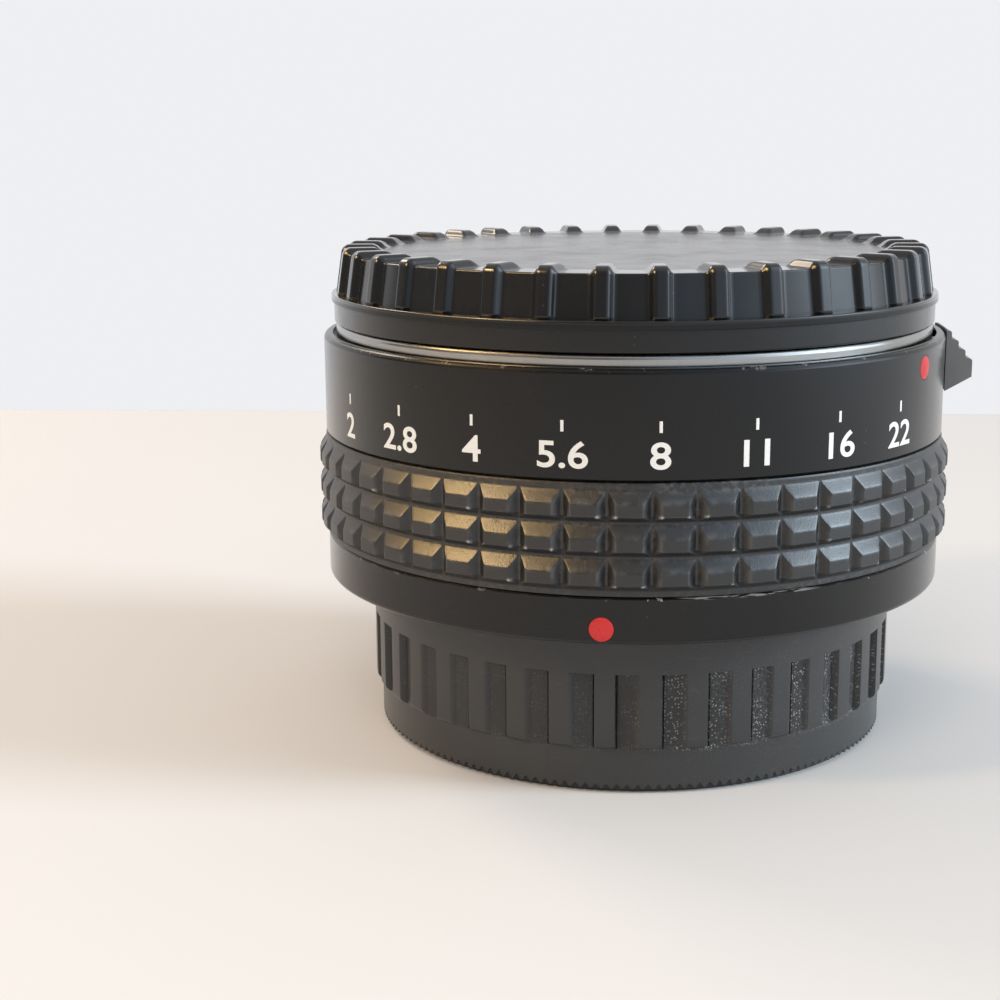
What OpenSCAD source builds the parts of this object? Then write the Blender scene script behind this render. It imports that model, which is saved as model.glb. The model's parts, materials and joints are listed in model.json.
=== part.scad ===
/* [Barrel] */
// Outside diameter of the barrel
barrel_d = 62.4; // [61.6:0.1:66]
// Wall of the barrel shell
barrel_wall = 2.2; // [2:0.1:2.6]
// Height of the plain lip under the grip
lip_h = 4.35; // [4.2:0.05:6]
// Height of the plain band above the grip
band_h = 9.85; // [9.4:0.05:12]
// Rounding of the barrel's outer edges
edge_round = 0.5; // [0.2:0.05:0.6]
// Chamfer on the top of the lens cell
cell_chamfer = 0.4; // [0.2:0.05:0.6]
// Small chamfer on the lesser edges
soft_edge = 0.2; // [0.1:0.05:0.25]
// Thickness of the shelf that carries the front mount ring
shelf_t = 2.6; // [2.2:0.1:3]
// Thickness of the web that carries the rear bayonet
web_t = 2.7; // [2.4:0.1:3.4]
// Length of the sleeve by which the two barrel halves overlap
sleeve_lap = 4.1; // [3.4:0.1:5]
// Wall of that sleeve
sleeve_wall = 1.3; // [1:0.1:1.6]
// Height of the joint between the halves above the grip's lower edge
joint_h = 3.1; // [2.8:0.1:4]

/* [Rubber grip] */
// Height of the grip
grip_h = 10.3; // [9:0.1:12]
// Thickness of the rubber under the studs
grip_base = 1.05; // [0.8:0.05:1.1]
// Height of a stud above the rubber base
stud_h = 0.68; // [0.4:0.02:0.9]
// How far the rubber under the studs stands out from the barrel
grip_proud = 0.05; // [0:0.01:0.1]
// Studs round the grip
stud_count = 50; // [40:1:56]
// Rows of studs
stud_rows = 3; // [2:1:4]
// Plain rim above and below the studs
grip_rim = 0.72; // [0.5:0.02:1]
// Width of the groove floor between rows of studs
groove_w = 0.36; // [0.3:0.02:0.7]
// Width of the groove floor between neighbours in a row
stud_gap = 0.2; // [0.1:0.02:0.5]
// Run of the upper slope of a stud
stud_upper_run = 1.2; // [0.5:0.05:1.3]
// Run of the lower slope of a stud
stud_lower_run = 0.45; // [0.3:0.05:0.7]
// Run of the side slopes of a stud
stud_side_run = 0.7; // [0.2:0.02:0.8]

/* [Bayonets] */
// Outside diameter of a male bayonet tube
tube_d = 43.8; // [43:0.1:44.6]
// Wall of a male bayonet tube
tube_wall = 1.4; // [1.2:0.1:1.6]
// Length of a male tube below its flange face
tube_len = 4.8; // [4.4:0.1:5.4]
// How far a locking tab stands out from its tube
tab_reach = 1.95; // [1.6:0.05:2.1]
// Thickness of a locking tab
tab_t = 1.4; // [1.2:0.1:1.6]
// Distance from a flange face to the near side of its tabs
tab_depth = 1.9; // [1.8:0.05:2.2]
// Angle that one locking tab covers
tab_angle = 48; // [40:1:50]
// Angle that one lug of a female mount covers
lug_angle = 62; // [54:1:64]
// Play between a metal tube and the lugs round it
lug_play = 0.15; // [0.1:0.05:0.3]
// Play between a tab and the entry gap round it
entry_play = 0.2; // [0.15:0.05:0.3]
// Play between a plastic cap and the metal mount
cap_play = 0.3; // [0.25:0.05:0.4]
// Height of the front mount ring above the barrel
ring_proud = 1.1; // [0.6:0.1:1.5]
// Width of the barrel's edge round the front mount ring
ring_border = 0.86; // [0.7:0.02:1.2]
// Gap round the front mount ring, inside the barrel's edge
ring_gap = 0.4; // [0.1:0.05:0.5]
// Rounding of the front mount ring's outer edge
ring_round = 0.5; // [0.2:0.05:0.6]
// Width of the shelf's step inside the front mount ring
shelf_step = 0.55; // [0.4:0.05:0.8]
// Width of the web's step round the rear bayonet's tube
web_step = 0.7; // [0.5:0.05:1]
// Set-back of the rear flange from the rear cap's lands
flange_setback = 0.3; // [0.2:0.05:0.4]
// Thickness of the rear bayonet's flange
rear_flange_t = 2; // [1.8:0.1:2.6]
// Height of the rear flange above the lip's end face
rear_proud = 0.4; // [0.2:0.05:0.6]
// Direction of the front index dot, from the viewer, turning to the right
front_dot_az = 60.9; // [50:0.1:70]
// Direction of the rear index dot
rear_dot_az = -4.4; // [-20:0.1:20]
// Diameter of an index dot
dot_d = 2.2; // [1.8:0.1:2.6]
// How far an index dot stands out
dot_proud = 0.15; // [0.1:0.01:0.25]
// Depth of an index dot in the barrel
dot_depth = 0.95; // [0.8:0.05:1]
// Thickness of a bayonet leaf spring
leaf_t = 0.25; // [0.2:0.01:0.3]
// Bow of a bayonet leaf spring
leaf_bow = 0.55; // [0.3:0.05:0.8]

/* [Front cap] */
// Height of the plain skirt
cap_skirt_h = 2; // [1.6:0.1:3]
// Set-back of the skirt from the front mount ring
skirt_setback = 0.24; // [0.1:0.02:0.4]
// Set-back of the ribs from the skirt
rib_setback = 0.2; // [0.1:0.05:0.4]
// Height of the bead above the skirt
cap_bead_h = 0.8; // [0.5:0.1:1.2]
// How far the bead stands out
cap_bead_reach = 0.25; // [0.1:0.05:0.4]
// Height of the ribbed side
cap_rib_side = 4.6; // [4:0.1:6]
// Height of a rib above the valley beside it
rib_h = 0.68; // [0.5:0.02:0.9]
// Ribs round the cap
rib_count = 36; // [30:1:40]
// Width of a rib at its foot
rib_w = 1.9; // [1.5:0.05:2.2]
// Slope of a rib's flanks, as their run
rib_flank_run = 0.28; // [0.15:0.01:0.4]
// How far a rib runs in over the top
rib_run = 4; // [3:0.1:6]
// Draft of the ribbed side over its height
cap_draft = 0.7; // [0.4:0.05:1]
// Chamfer where a rib turns over the top edge
rib_corner = 0.4; // [0.2:0.05:0.5]
// Thickness of the cap's disc
cap_disc_t = 1.6; // [1.2:0.1:2]
// Wall of the cap's skirt
cap_skirt_wall = 1.7; // [1.4:0.1:1.9]
// Wall behind the ribs
cap_side_wall = 1.4; // [1.2:0.1:1.8]

/* [Rear cap] */
// Height of the rear cap
rear_cap_h = 15.45; // [14:0.05:18]
// Wall of the rear cap
rear_cap_wall = 1.7; // [1.4:0.05:2]
// Thickness of the rear cap's end
rear_cap_floor = 1.6; // [1.2:0.1:2]
// Height of the lands between the slots
land_h = 0.65; // [0.4:0.05:0.8]
// Height at which the lands start
land_start = 4.43; // [3:0.05:6]
// Length of a slot
slot_len = 7.22; // [5:0.02:8.4]
// Width of a slot
slot_w = 2.4; // [1.6:0.05:2.8]
// Height of a slot's hollow floor over the band below
slot_floor = 0.03; // [0.02:0.01:0.1]
// Slots round the rear cap
slot_count = 39; // [30:1:42]
// Height of the foot under the serrated edge
foot_h = 0.45; // [0.2:0.05:0.6]
// Set-back of the foot from the serrated edge
foot_setback = 0.75; // [0.5:0.05:1]
// Notches round the serrated edge
notch_count = 168; // [120:1:180]
// Height of a notch
notch_h = 0.5; // [0.3:0.05:0.6]
// Width of a notch
notch_w = 0.88; // [0.5:0.02:0.9]

/* [Release] */
// Direction of the release lever
release_az = 90; // [80:0.5:100]
// Width of the lever's thumb piece
lever_w = 7.2; // [6.6:0.1:9]
// How far the thumb piece stands out from the barrel
lever_reach = 2.55; // [2:0.05:3.2]
// Gap between the thumb piece and the barrel
lever_play = 0.15; // [0.1:0.05:0.2]
// Drop of the thumb piece's top below the barrel's
lever_drop = 0; // [0:0.05:0.3]
// Height of the thumb piece
lever_h = 6; // [5.4:0.1:6.4]
// Thickness of the thumb piece's plate against the barrel
lever_plate = 0.3; // [0.25:0.05:0.7]
// Steps on the thumb piece
lever_steps = 3; // [2:1:4]
// Height of the thumb piece's outer face
lever_tip_h = 1.8; // [1.2:0.1:1.9]
// Drop from one step to the next
lever_step_drop = 0.92; // [0.7:0.02:1]
// Rise of a step from its edge to the next step
lever_slope = 0.15; // [0.05:0.05:0.2]
// Rounding of a step's edge
lever_round = 0.25; // [0.1:0.05:0.3]
// Width of the stem through the barrel's slot
stem_w = 5.2; // [4.6:0.1:6]
// Height of the stem
stem_h = 2.3; // [2:0.1:2.5]
// Gap between the stem and the front mount ring
stem_drop = 0.45; // [0.3:0.05:0.6]
// Travel of the release lever
release_travel = 2.2; // [1.8:0.1:2.4]
// Diameter of the lock pin
lock_pin_d = 1.9; // [1.6:0.1:2.2]
// Height of the lock pin above the flange face
lock_pin_proud = 0.9; // [0.6:0.1:1.2]
// Width of the carriage
carriage_w = 6.6; // [6.4:0.1:7.4]
// Depth of the carriage
carriage_d = 3; // [2.8:0.1:3.4]
// Length of the release spring
release_spring_len = 6; // [5.4:0.1:6.4]
// Turns of the release spring
release_spring_turns = 5; // [4:1:6]
// Coil diameter of the release spring, at the wire's middle
release_coil_d = 2.6; // [2.4:0.1:3]
// Wire of the release spring
release_wire = 0.35; // [0.25:0.05:0.4]
// Thickness of the bracket under the release spring
bracket_t = 0.8; // [0.6:0.1:1.2]
// Thickness of the bracket's legs
bracket_leg_t = 1.6; // [1.4:0.1:1.8]
// Height of the bracket's legs
bracket_leg_h = 3.4; // [3:0.1:3.6]
// Reach of the bracket's foot in from the release spring's middle
bracket_foot = 2.2; // [1.8:0.1:3]
// Width of the bracket
bracket_w = 9; // [8.6:0.1:10]
// Height of the post inside the release spring
bracket_post_h = 2.6; // [2:0.1:2.8]

/* [Coupling rings] */
// Thickness of a coupling lever's blade
blade_t = 1.1; // [0.8:0.1:1.3]
// Angle that a blade covers
blade_angle = 8; // [6:1:12]
// Radial thickness of a coupling ring
hub_t = 1.05; // [0.8:0.05:1.2]
// Height of a coupling ring
hub_h = 1.6; // [1.2:0.1:1.8]
// Turn of the stop-down ring
stopdown_turn = 16; // [8:1:24]
// Turn of the aperture simulator ring
simulator_turn = 48; // [30:1:56]
// Depth of the front blades below the front flange face
front_blade_depth = 3.9; // [3.4:0.1:5]
// Reach of the stop-down blade past the rear flange face
stopdown_reach = 6.2; // [5:0.1:7]
// Reach of the simulator blade past the rear flange face
simulator_reach = 4.3; // [3:0.1:5]
// Running clearance of the rings on the lens cell
running_gap = 0.05; // [0.03:0.01:0.08]
// Wire of the ring springs
ring_wire = 0.4; // [0.3:0.05:0.4]
// Turns of a ring spring
ring_spring_turns = 3; // [2:1:3]
// Rise of a ring spring in one turn
ring_spring_pitch = 0.85; // [0.85:0.01:0.9]
// Height of the circlip
circlip_h = 0.8; // [0.6:0.1:1]

/* [Optics] */
// Wall of the lens cell
cell_wall = 2.95; // [2.4:0.05:3.4]
// Thickness of the lens cell's flange
cell_flange_t = 1.6; // [1.2:0.1:2]
// Gap between the lens cell's flange and the sleeve round it
cell_flange_gap = 1.3; // [1:0.1:1.8]
// Distance from the rear flange face to the cell's rear end
cell_set = 0.4; // [0.3:0.1:1]
// Width of the flat rim of a lens
lens_rim = 2.1; // [1.6:0.1:2.6]
// Set-back of the spacers and retaining rings from a lens's curve
spacer_setback = 0.2; // [0.1:0.05:0.4]
// Height of a retaining ring
retainer_h = 1.4; // [1:0.1:1.8]
// Edge of the rear element
rear_edge = 2.2; // [2:0.1:2.6]
// Height of the rear spacer
rear_spacer_h = 3.5; // [3:0.1:4]
// Edge of the doublet's rear element
doublet_rear_edge = 2.4; // [2:0.1:3]
// Edge of the doublet's front element
doublet_front_edge = 4.2; // [4:0.1:4.6]
// Height of the front spacer
front_spacer_h = 3; // [2.6:0.1:3.4]
// Edge of the front element
front_edge = 2; // [1.8:0.1:2.4]

/* [Fasteners and fits] */
// Screws on each mount
mount_screws = 5; // [4:1:5]
// Shank diameter of the mount screws
screw_d = 1.7; // [1.4:0.1:1.8]
// Head diameter of the mount screws
screw_head_d = 3; // [2.6:0.1:3.2]
// Length of the mount screws
screw_len = 3.4; // [3:0.1:3.8]
// Diameter of the small screws
small_screw_d = 1.2; // [1:0.1:1.4]
// Length of the lens cell's screws
cell_screw_len = 2.9; // [2.6:0.1:3.6]
// Length of the bracket's screws
bracket_screw_len = 2.7; // [2.4:0.1:3]
// Length of the set screws
set_screw_len = 2.3; // [2:0.1:2.4]
// Gap between pieces that are fixed together
fit_gap = 0.04; // [0.02:0.01:0.06]
// Gap between a seated cap and its flange
seat_gap = 0.05; // [0.03:0.01:0.1]
// Gap beside moving pieces
move_gap = 0.3; // [0.25:0.05:0.4]

/* [Hidden] */
$fn = 96;
tab_count = 3;
local_fn = 48;
edge_steps = 4;

// Overlap that fuses shapes, and reach of a cut past a face
sink = 0.2;
over = 1;

// Levels along the optical axis, from the table up
z_rear_face = rear_cap_h + seat_gap;
z_lip = z_rear_face + rear_proud;
z_grip = z_lip + lip_h;
z_band = z_grip + grip_h;
z_top = z_band + band_h;
z_front_face = z_top + ring_proud;
ring_t = tab_depth - lug_play;
z_seat = z_front_face - ring_t;
z_shelf = z_seat - shelf_t;
z_pocket = z_rear_face + rear_flange_t;
z_web = z_pocket + web_t;
z_joint = z_grip + joint_h;
z_lap = z_joint + sleeve_lap;

// Radii of the bayonets, and of what lies inside their tubes
tube_r = tube_d / 2;
tube_in = tube_r - tube_wall;
tab_r = tube_r + tab_reach;
lug_in = tube_r + lug_play;
entry_r = tab_r + entry_play;
tab_step = 360 / tab_count;
blade_clear = 0.5;
blade_out = tube_in - blade_clear;
blade_in = blade_out - blade_t;
hub_out = blade_in - move_gap;
cell_r = hub_out - hub_t - running_gap;
cell_bore = cell_r - cell_wall;
lens_r = cell_bore - running_gap;
lens_clear = lens_r - lens_rim;

// Radii of the barrel and the mounts
barrel_r = barrel_d / 2;
bore_r = barrel_r - barrel_wall;
sleeve_r = barrel_r - grip_base + grip_proud;
rim_r = barrel_r - ring_border;
ring_r = rim_r - ring_gap;
shelf_r = entry_r + shelf_step;
screw_circle = (entry_r + ring_r) / 2;
web_r = tube_r + web_step;

// Rear cap radii
cap_in = tab_r + cap_play + lug_play;
cap_band_r = cap_in + rear_cap_wall;
land_r = cap_band_r + land_h;
slot_floor_r = cap_band_r + slot_floor;
slot_depth = sqrt(land_r * land_r - slot_w * slot_w / 4) - slot_floor_r;
slot_r = (slot_depth * slot_depth + slot_w * slot_w / 4) / (2 * slot_depth);
foot_r = cap_band_r - foot_setback;
rear_flange_r = land_r - flange_setback;
rear_screw_circle = (web_r + rear_flange_r) / 2;
cap_lug_in = tube_r + cap_play;

// Front cap radii and levels
skirt_r = rim_r - skirt_setback;
bead_r = skirt_r + cap_bead_reach;
rib_r = skirt_r - rib_setback;
rib_top_r = rib_r - cap_draft;
valley_r = rib_r - rib_h;
skirt_in = skirt_r - cap_skirt_wall;
side_in = rib_top_r - rib_h - cap_side_wall;
plug_r = lug_in - cap_play;
plug_in = blade_out + move_gap;
z_cap = z_front_face + seat_gap;
z_bead = z_cap + cap_skirt_h;
z_ribs = z_bead + cap_bead_h;
z_crown = z_ribs + cap_rib_side;
z_disc = z_crown - rib_h;
z_under = z_disc - cap_disc_t;
cap_tab_angle = tab_angle - 4;
cap_tilt = atan(cap_draft / cap_rib_side);

// Coupling rings, stacked on the lens cell
spring_h = ring_spring_turns * ring_spring_pitch + ring_wire;
spring_mid_r = cell_r + ring_wire / 2 + move_gap;
z_cell_flange = z_web + cell_flange_t;
z_stopdown_spring = z_cell_flange + move_gap;
z_stopdown = z_stopdown_spring + spring_h + move_gap;
z_simulator = z_stopdown + hub_h + move_gap;
z_simulator_spring = z_simulator + hub_h + move_gap;
z_circlip = z_simulator_spring + spring_h + move_gap;
z_front_blade = z_front_face - front_blade_depth;
stopdown_front_az = 150;
stopdown_rear_az = 60;
simulator_front_az = 240;
simulator_rear_az = 200;
cell_flange_r = bore_r - sleeve_wall - cell_flange_gap;
cell_screw_circle = (web_r + cell_flange_r) / 2;

// Optics, stacked from the rear
z_cell = z_rear_face + cell_set;
z_rear_lens = z_cell + retainer_h;
z_rear_spacer = z_rear_lens + rear_edge;
z_doublet_rear = z_rear_spacer + rear_spacer_h;
z_doublet_front = z_doublet_rear + doublet_rear_edge;
z_front_spacer = z_doublet_front + doublet_front_edge;
z_front_lens = z_front_spacer + front_spacer_h;
z_front_retainer = z_front_lens + front_edge;
z_cell_top = z_front_retainer + retainer_h;

// Curvature of each glass surface, minus where it is hollow
front_lens_top = 40;
front_lens_bottom = -90;
doublet_top = -60;
doublet_joint = 45;
doublet_bottom = 40;
rear_lens_top = -36;
rear_lens_bottom = 60;
cement = 0.02;
lens_ring_in = lens_clear + spacer_setback;

// Release mechanism, along the lever's direction
lever_in = barrel_r + lever_play;
lever_out = barrel_r + lever_reach;
z_lever_top = z_top - lever_drop;
z_lever = z_lever_top - lever_h;
z_stem = z_seat - stem_drop - stem_h;
pin_circle = bore_r - move_gap - carriage_d / 2;
carriage_in = pin_circle - carriage_d / 2;
carriage_out = pin_circle + carriage_d / 2;
pocket_in = carriage_in - move_gap;
z_slot = z_stem - release_travel - sink;
spring_end_gap = 0.2;
z_bracket_top = z_stem - release_spring_len - 2 * spring_end_gap;
bracket_post_r = release_coil_d / 2 - release_wire / 2 - move_gap;
bracket_leg_in = bore_r - bracket_leg_t;
bracket_screw_y = 3.3;
lever_screw_y = 1.75;
stem_thread = 1.6;
lever_screw_len = carriage_d + stem_thread;
z_dot_front = z_seat - 1.4;
z_dot_rear = z_lip + 1.42;

// Steps per turn of the wound springs
release_pitch = (release_spring_len - release_wire) / release_spring_turns;
release_steps = 16;
ring_steps = 40;

// Throat liner
z_liner = z_front_face - tube_len - move_gap;
liner_t = 0.6;
liner_wall = 0.35;
liner_lip = 0.7;
liner_in = blade_out + liner_wall;
liner_r = shelf_r - fit_gap;

// Turns children to a direction, counted from the viewer towards the right
module at(az) {
  rotate([0, 0, az - 90]) children();
}

// Ring between two radii and two levels
module ring(r_in, r_out, z0, z1) {
  rotate_extrude() translate([r_in, z0]) square([r_out - r_in, z1 - z0]);
}

// Part of a ring, centred on a direction
module sector(r_in, r_out, z0, z1, az, angle) {
  at(az - angle / 2) rotate_extrude(angle = angle)
    translate([r_in, z0]) square([r_out - r_in, z1 - z0]);
}

// Countersunk screw, its head's face at the origin and its shank down
module countersunk_screw(d, head_d, len) {
  head_h = (head_d - d) / 2;
  difference() {
    union() {
      translate([0, 0, -head_h]) cylinder(d1 = d, d2 = head_d, h = head_h, $fn = local_fn);
      translate([0, 0, -len]) cylinder(d = d, h = len - head_h / 2, $fn = local_fn);
    }
    for (turn = [0, 90]) rotate([0, 0, turn])
      translate([-head_d * 0.3, -head_d * 0.06, -head_h * 0.7])
        cube([head_d * 0.6, head_d * 0.12, head_h]);
  }
}

// Space for a countersunk screw, with a gap all round
module countersunk_hole(d, head_d, len) {
  head_h = (head_d - d) / 2;
  hole_d = d + 2 * fit_gap;
  translate([0, 0, -len - fit_gap]) cylinder(d = hole_d, h = len + over, $fn = local_fn);
  translate([0, 0, -head_h - fit_gap])
    cylinder(d1 = hole_d, d2 = head_d + 2 * fit_gap, h = head_h + fit_gap, $fn = local_fn);
  cylinder(d = head_d + 2 * fit_gap, h = over, $fn = local_fn);
}

// Cheese-head screw, its seat at the origin and its shank down
module cheese_screw(d, len) {
  difference() {
    union() {
      cylinder(d = d * 1.8, h = d * 0.5, $fn = local_fn);
      translate([0, 0, -len]) cylinder(d = d, h = len + sink, $fn = local_fn);
    }
    translate([-d, -d * 0.12, d * 0.25]) cube([2 * d, d * 0.24, d]);
  }
}

// Round hole that goes down from the origin
module round_hole(d, len) {
  translate([0, 0, -len]) cylinder(d = d + 2 * fit_gap, h = len + over, $fn = local_fn);
}

// Puts children at the front mount's screws
module at_front_screws() {
  for (k = [0 : mount_screws - 1]) at(release_az - 36 + k * 360 / mount_screws)
    translate([screw_circle, 0, z_front_face]) children();
}

// Puts children at the rear mount's screws, heads down
module at_rear_screws() {
  for (k = [0 : mount_screws - 1]) at(18 + k * 360 / mount_screws)
    translate([rear_screw_circle, 0, z_rear_face]) rotate([180, 0, 0]) children();
}

// Puts children at the lens cell's screws
module at_cell_screws() {
  for (k = [0 : 2]) at(126 + k * 120)
    translate([cell_screw_circle, 0, z_cell_flange]) children();
}

// Puts children at the set screws, shank pointing in
module at_set_screws() {
  for (k = [0 : 2]) at(30 + k * 120)
    translate([sleeve_r, 0, (z_joint + z_lap) / 2]) rotate([0, 90, 0]) children();
}

// Puts children at the bracket's screws, heads towards the axis
module at_bracket_screws() {
  at(release_az) for (y = [-bracket_screw_y, bracket_screw_y])
    translate([bracket_leg_in, y, z_bracket_top + bracket_leg_h / 2]) rotate([0, -90, 0]) children();
}

// Puts children at the lever's screws, shank pointing out
module at_lever_screws() {
  for (y = [-lever_screw_y, lever_screw_y])
    translate([carriage_in, y, z_stem + stem_h / 2]) rotate([0, -90, 0]) children();
}

// Points of a helix: radius, rise per turn, turns, steps per turn
function helix(r, pitch, turns, steps) = [
  for (k = [0 : turns * steps]) let (a = 360 * k / steps) [r * cos(a), r * sin(a), pitch * k / steps]
];

// Least gap between turns of a coil, over points more than half a turn apart
function least_gap(p, wire, steps) = min([
  for (i = [0 : len(p) - 1]) for (j = [i + steps / 2 : 1 : len(p) - 1]) norm(p[i] - p[j])
]) - wire;

// Wire of six sides along a helix, as one closed tube
module coil(r, pitch, turns, wire, steps) {
  n = turns * steps;
  rings = [for (k = [0 : n]) for (s = [0 : 5]) let (
    a = 360 * k / steps,
    off = wire / 2 * cos(60 * s)
  ) [(r + off) * cos(a), (r + off) * sin(a), pitch * k / steps + wire / 2 * sin(60 * s)]];
  sides = [for (k = [0 : n - 1]) for (s = [0 : 5]) let (
    a = 6 * k + s,
    b = 6 * k + (s + 1) % 6
  ) each [[a, b, b + 6], [a, b + 6, a + 6]]];
  ends = [for (s = [1 : 4]) each [[0, s + 1, s], [6 * n, 6 * n + s, 6 * n + s + 1]]];
  polyhedron(rings, concat(sides, ends));
}

release_path = helix(release_coil_d / 2, release_pitch, release_spring_turns, release_steps);
ring_path = helix(spring_mid_r, ring_spring_pitch, ring_spring_turns, ring_steps);
echo("release spring least gap, mm", least_gap(release_path, release_wire, release_steps));
echo("ring spring least gap, mm", least_gap(ring_path, ring_wire, ring_steps));

// Lens with a flat rim; each curvature is plus for a bulge and minus for a hollow
module lens(z, edge, top, bottom) {
  translate([0, 0, z]) difference() {
    union() {
      cylinder(r = lens_r, h = edge);
      if (top > 0) dome(top, edge);
      if (bottom > 0) translate([0, 0, edge]) mirror([0, 0, 1]) dome(bottom, edge);
    }
    if (top < 0) translate([0, 0, edge]) bowl(-top);
    if (bottom < 0) mirror([0, 0, 1]) bowl(-bottom);
  }
}

// Height of a spherical surface between its middle and the lens's clear radius
function sag(curve) = curve - sqrt(curve * curve - lens_clear * lens_clear);

// Bulge above an edge
module dome(curve, edge) {
  intersection() {
    translate([0, 0, edge + sag(curve) - curve]) sphere(r = curve);
    translate([0, 0, edge / 2]) cylinder(r = lens_clear, h = edge / 2 + 2 * sag(curve));
  }
}

// Points of a rounded outer edge, in order of height; a negative size rounds the edge below a side
function round_edge(r, z, size) = [for (k = [0 : edge_steps]) let (
    a = 90 * (size > 0 ? k : edge_steps - k) / edge_steps
  ) [r - abs(size) * (1 - cos(a)), z - size * (1 - sin(a))]];

// Sphere that hollows a face at the origin
module bowl(curve) {
  translate([0, 0, curve - sag(curve)]) sphere(r = curve);
}

// Plastic cap that covers the rear bayonet, and the foot that the object stands on
module rear_cap() {
  notch_inset = 0.1;
  color([0.09, 0.09, 0.09]) difference() {
    union() {
      rotate_extrude() polygon([
        [0, 0], [foot_r, 0], [foot_r, foot_h], [cap_band_r, foot_h],
        each round_edge(land_r, land_start, -land_h),
        [land_r, rear_cap_h - soft_edge], [land_r - soft_edge, rear_cap_h],
        [cap_in, rear_cap_h], [cap_in, rear_cap_floor], [0, rear_cap_floor]
      ]);
      for (k = [0 : tab_count - 1])
        sector(cap_lug_in, cap_in + sink, rear_cap_h - tab_depth + cap_play / 2, rear_cap_h,
          rear_dot_az + (k + 0.5) * tab_step, cap_tab_angle);
    }
    for (k = [0 : slot_count - 1]) at(k * 360 / slot_count)
      translate([slot_floor_r + slot_r, 0, land_start - sink])
        cylinder(r = slot_r, h = slot_len + sink);
    for (k = [0 : notch_count - 1]) at(k * 360 / notch_count)
      translate([foot_r + notch_inset, 0, foot_h]) rotate([90, 0, 90]) linear_extrude(foot_setback + over)
        polygon([[-notch_w / 2, -fit_gap], [notch_w / 2, -fit_gap], [0, notch_h]]);
  }
}

// Rear half of the barrel: lip, web for the bayonet and sleeve for the front half
module rear_barrel() {
  sleeve_out = bore_r - fit_gap;
  sleeve_in = bore_r - sleeve_wall;
  pocket_r = rear_flange_r + fit_gap;
  color([0.1, 0.1, 0.105]) difference() {
    rotate_extrude() polygon([
      [pocket_r, z_lip], each round_edge(barrel_r, z_lip, -edge_round),
      [barrel_r, z_grip - soft_edge], [barrel_r - soft_edge, z_grip],
      [sleeve_r, z_grip], [sleeve_r, z_joint],
      [sleeve_out, z_joint], [sleeve_out, z_lap], [sleeve_in, z_lap], [sleeve_in, z_web],
      [web_r, z_web], [web_r, z_pocket], [pocket_r, z_pocket]
    ]);
    at_rear_screws() countersunk_hole(screw_d, screw_head_d, screw_len);
    at_cell_screws() round_hole(small_screw_d, cell_screw_len + fit_gap);
    at_set_screws() round_hole(screw_d, set_screw_len + 2 * fit_gap);
    at(rear_dot_az) translate([barrel_r, 0, z_dot_rear]) rotate([0, 90, 0])
      round_hole(dot_d, dot_depth + fit_gap);
  }
}

// Front half of the barrel: plain band, shelf for the mount ring and sleeve under the grip
module front_barrel() {
  color([0.1, 0.1, 0.105]) difference() {
    rotate_extrude() polygon([
      [barrel_r - soft_edge, z_band], [barrel_r, z_band + soft_edge],
      each round_edge(barrel_r, z_top, edge_round), [rim_r, z_top], [rim_r, z_seat], [shelf_r, z_seat],
      [shelf_r, z_shelf], [bore_r, z_shelf], [bore_r, z_joint + fit_gap],
      [sleeve_r, z_joint + fit_gap], [sleeve_r, z_band]
    ]);
    at_front_screws() countersunk_hole(screw_d, screw_head_d, screw_len);
    at_set_screws() round_hole(screw_d, set_screw_len + 2 * fit_gap);
    at_bracket_screws() round_hole(small_screw_d, bracket_screw_len + fit_gap);
    at(front_dot_az) translate([barrel_r, 0, z_dot_front]) rotate([0, 90, 0])
      round_hole(dot_d, dot_depth + fit_gap);
    at(release_az) {
      translate([pocket_in, -carriage_w / 2 - move_gap, z_slot])
        cube([carriage_out + move_gap - pocket_in, carriage_w + 2 * move_gap, z_seat - z_slot + sink]);
      translate([pin_circle, -stem_w / 2 - move_gap, z_slot])
        cube([barrel_wall + pin_circle, stem_w + 2 * move_gap, z_seat - z_slot]);
    }
  }
}

// Rubber sleeve with rows of square studs
module rubber_grip() {
  base_r = sleeve_r + grip_base;
  inner_r = sleeve_r + fit_gap;
  round_in = 0.1;
  round_up = 0.15;
  groove_lift = 0.01;
  row_pitch = (grip_h - 2 * grip_rim + groove_w) / stud_rows;
  stud_top = [for (k = [0 : stud_rows - 1]) z_grip + grip_rim + k * row_pitch];
  rows = [for (z = stud_top) each [
    [base_r, z],
    [base_r + stud_h, z + stud_lower_run],
    [base_r + stud_h, z + row_pitch - groove_w - stud_upper_run],
    [base_r, z + row_pitch - groove_w]
  ]];
  stud_angle = 360 / stud_count;
  color([0.07, 0.07, 0.07]) difference() {
    rotate_extrude() polygon(concat(
      [[inner_r, z_grip + fit_gap], [base_r - round_in, z_grip + fit_gap], [base_r, z_grip + round_up]],
      rows,
      [[base_r, z_band - round_up], [base_r - round_in, z_band - fit_gap], [inner_r, z_band - fit_gap]]
    ));
    for (k = [0 : stud_count - 1]) at((k + 0.5) * stud_angle)
      translate([base_r, 0, z_grip + grip_rim - sink / 2])
        linear_extrude(grip_h - 2 * grip_rim + sink) polygon([
          [groove_lift, -stud_gap / 2], [groove_lift, stud_gap / 2],
          [2 * stud_h, stud_gap / 2 + 2 * stud_side_run],
          [2 * stud_h, -stud_gap / 2 - 2 * stud_side_run]
        ]);
  }
}

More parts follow.
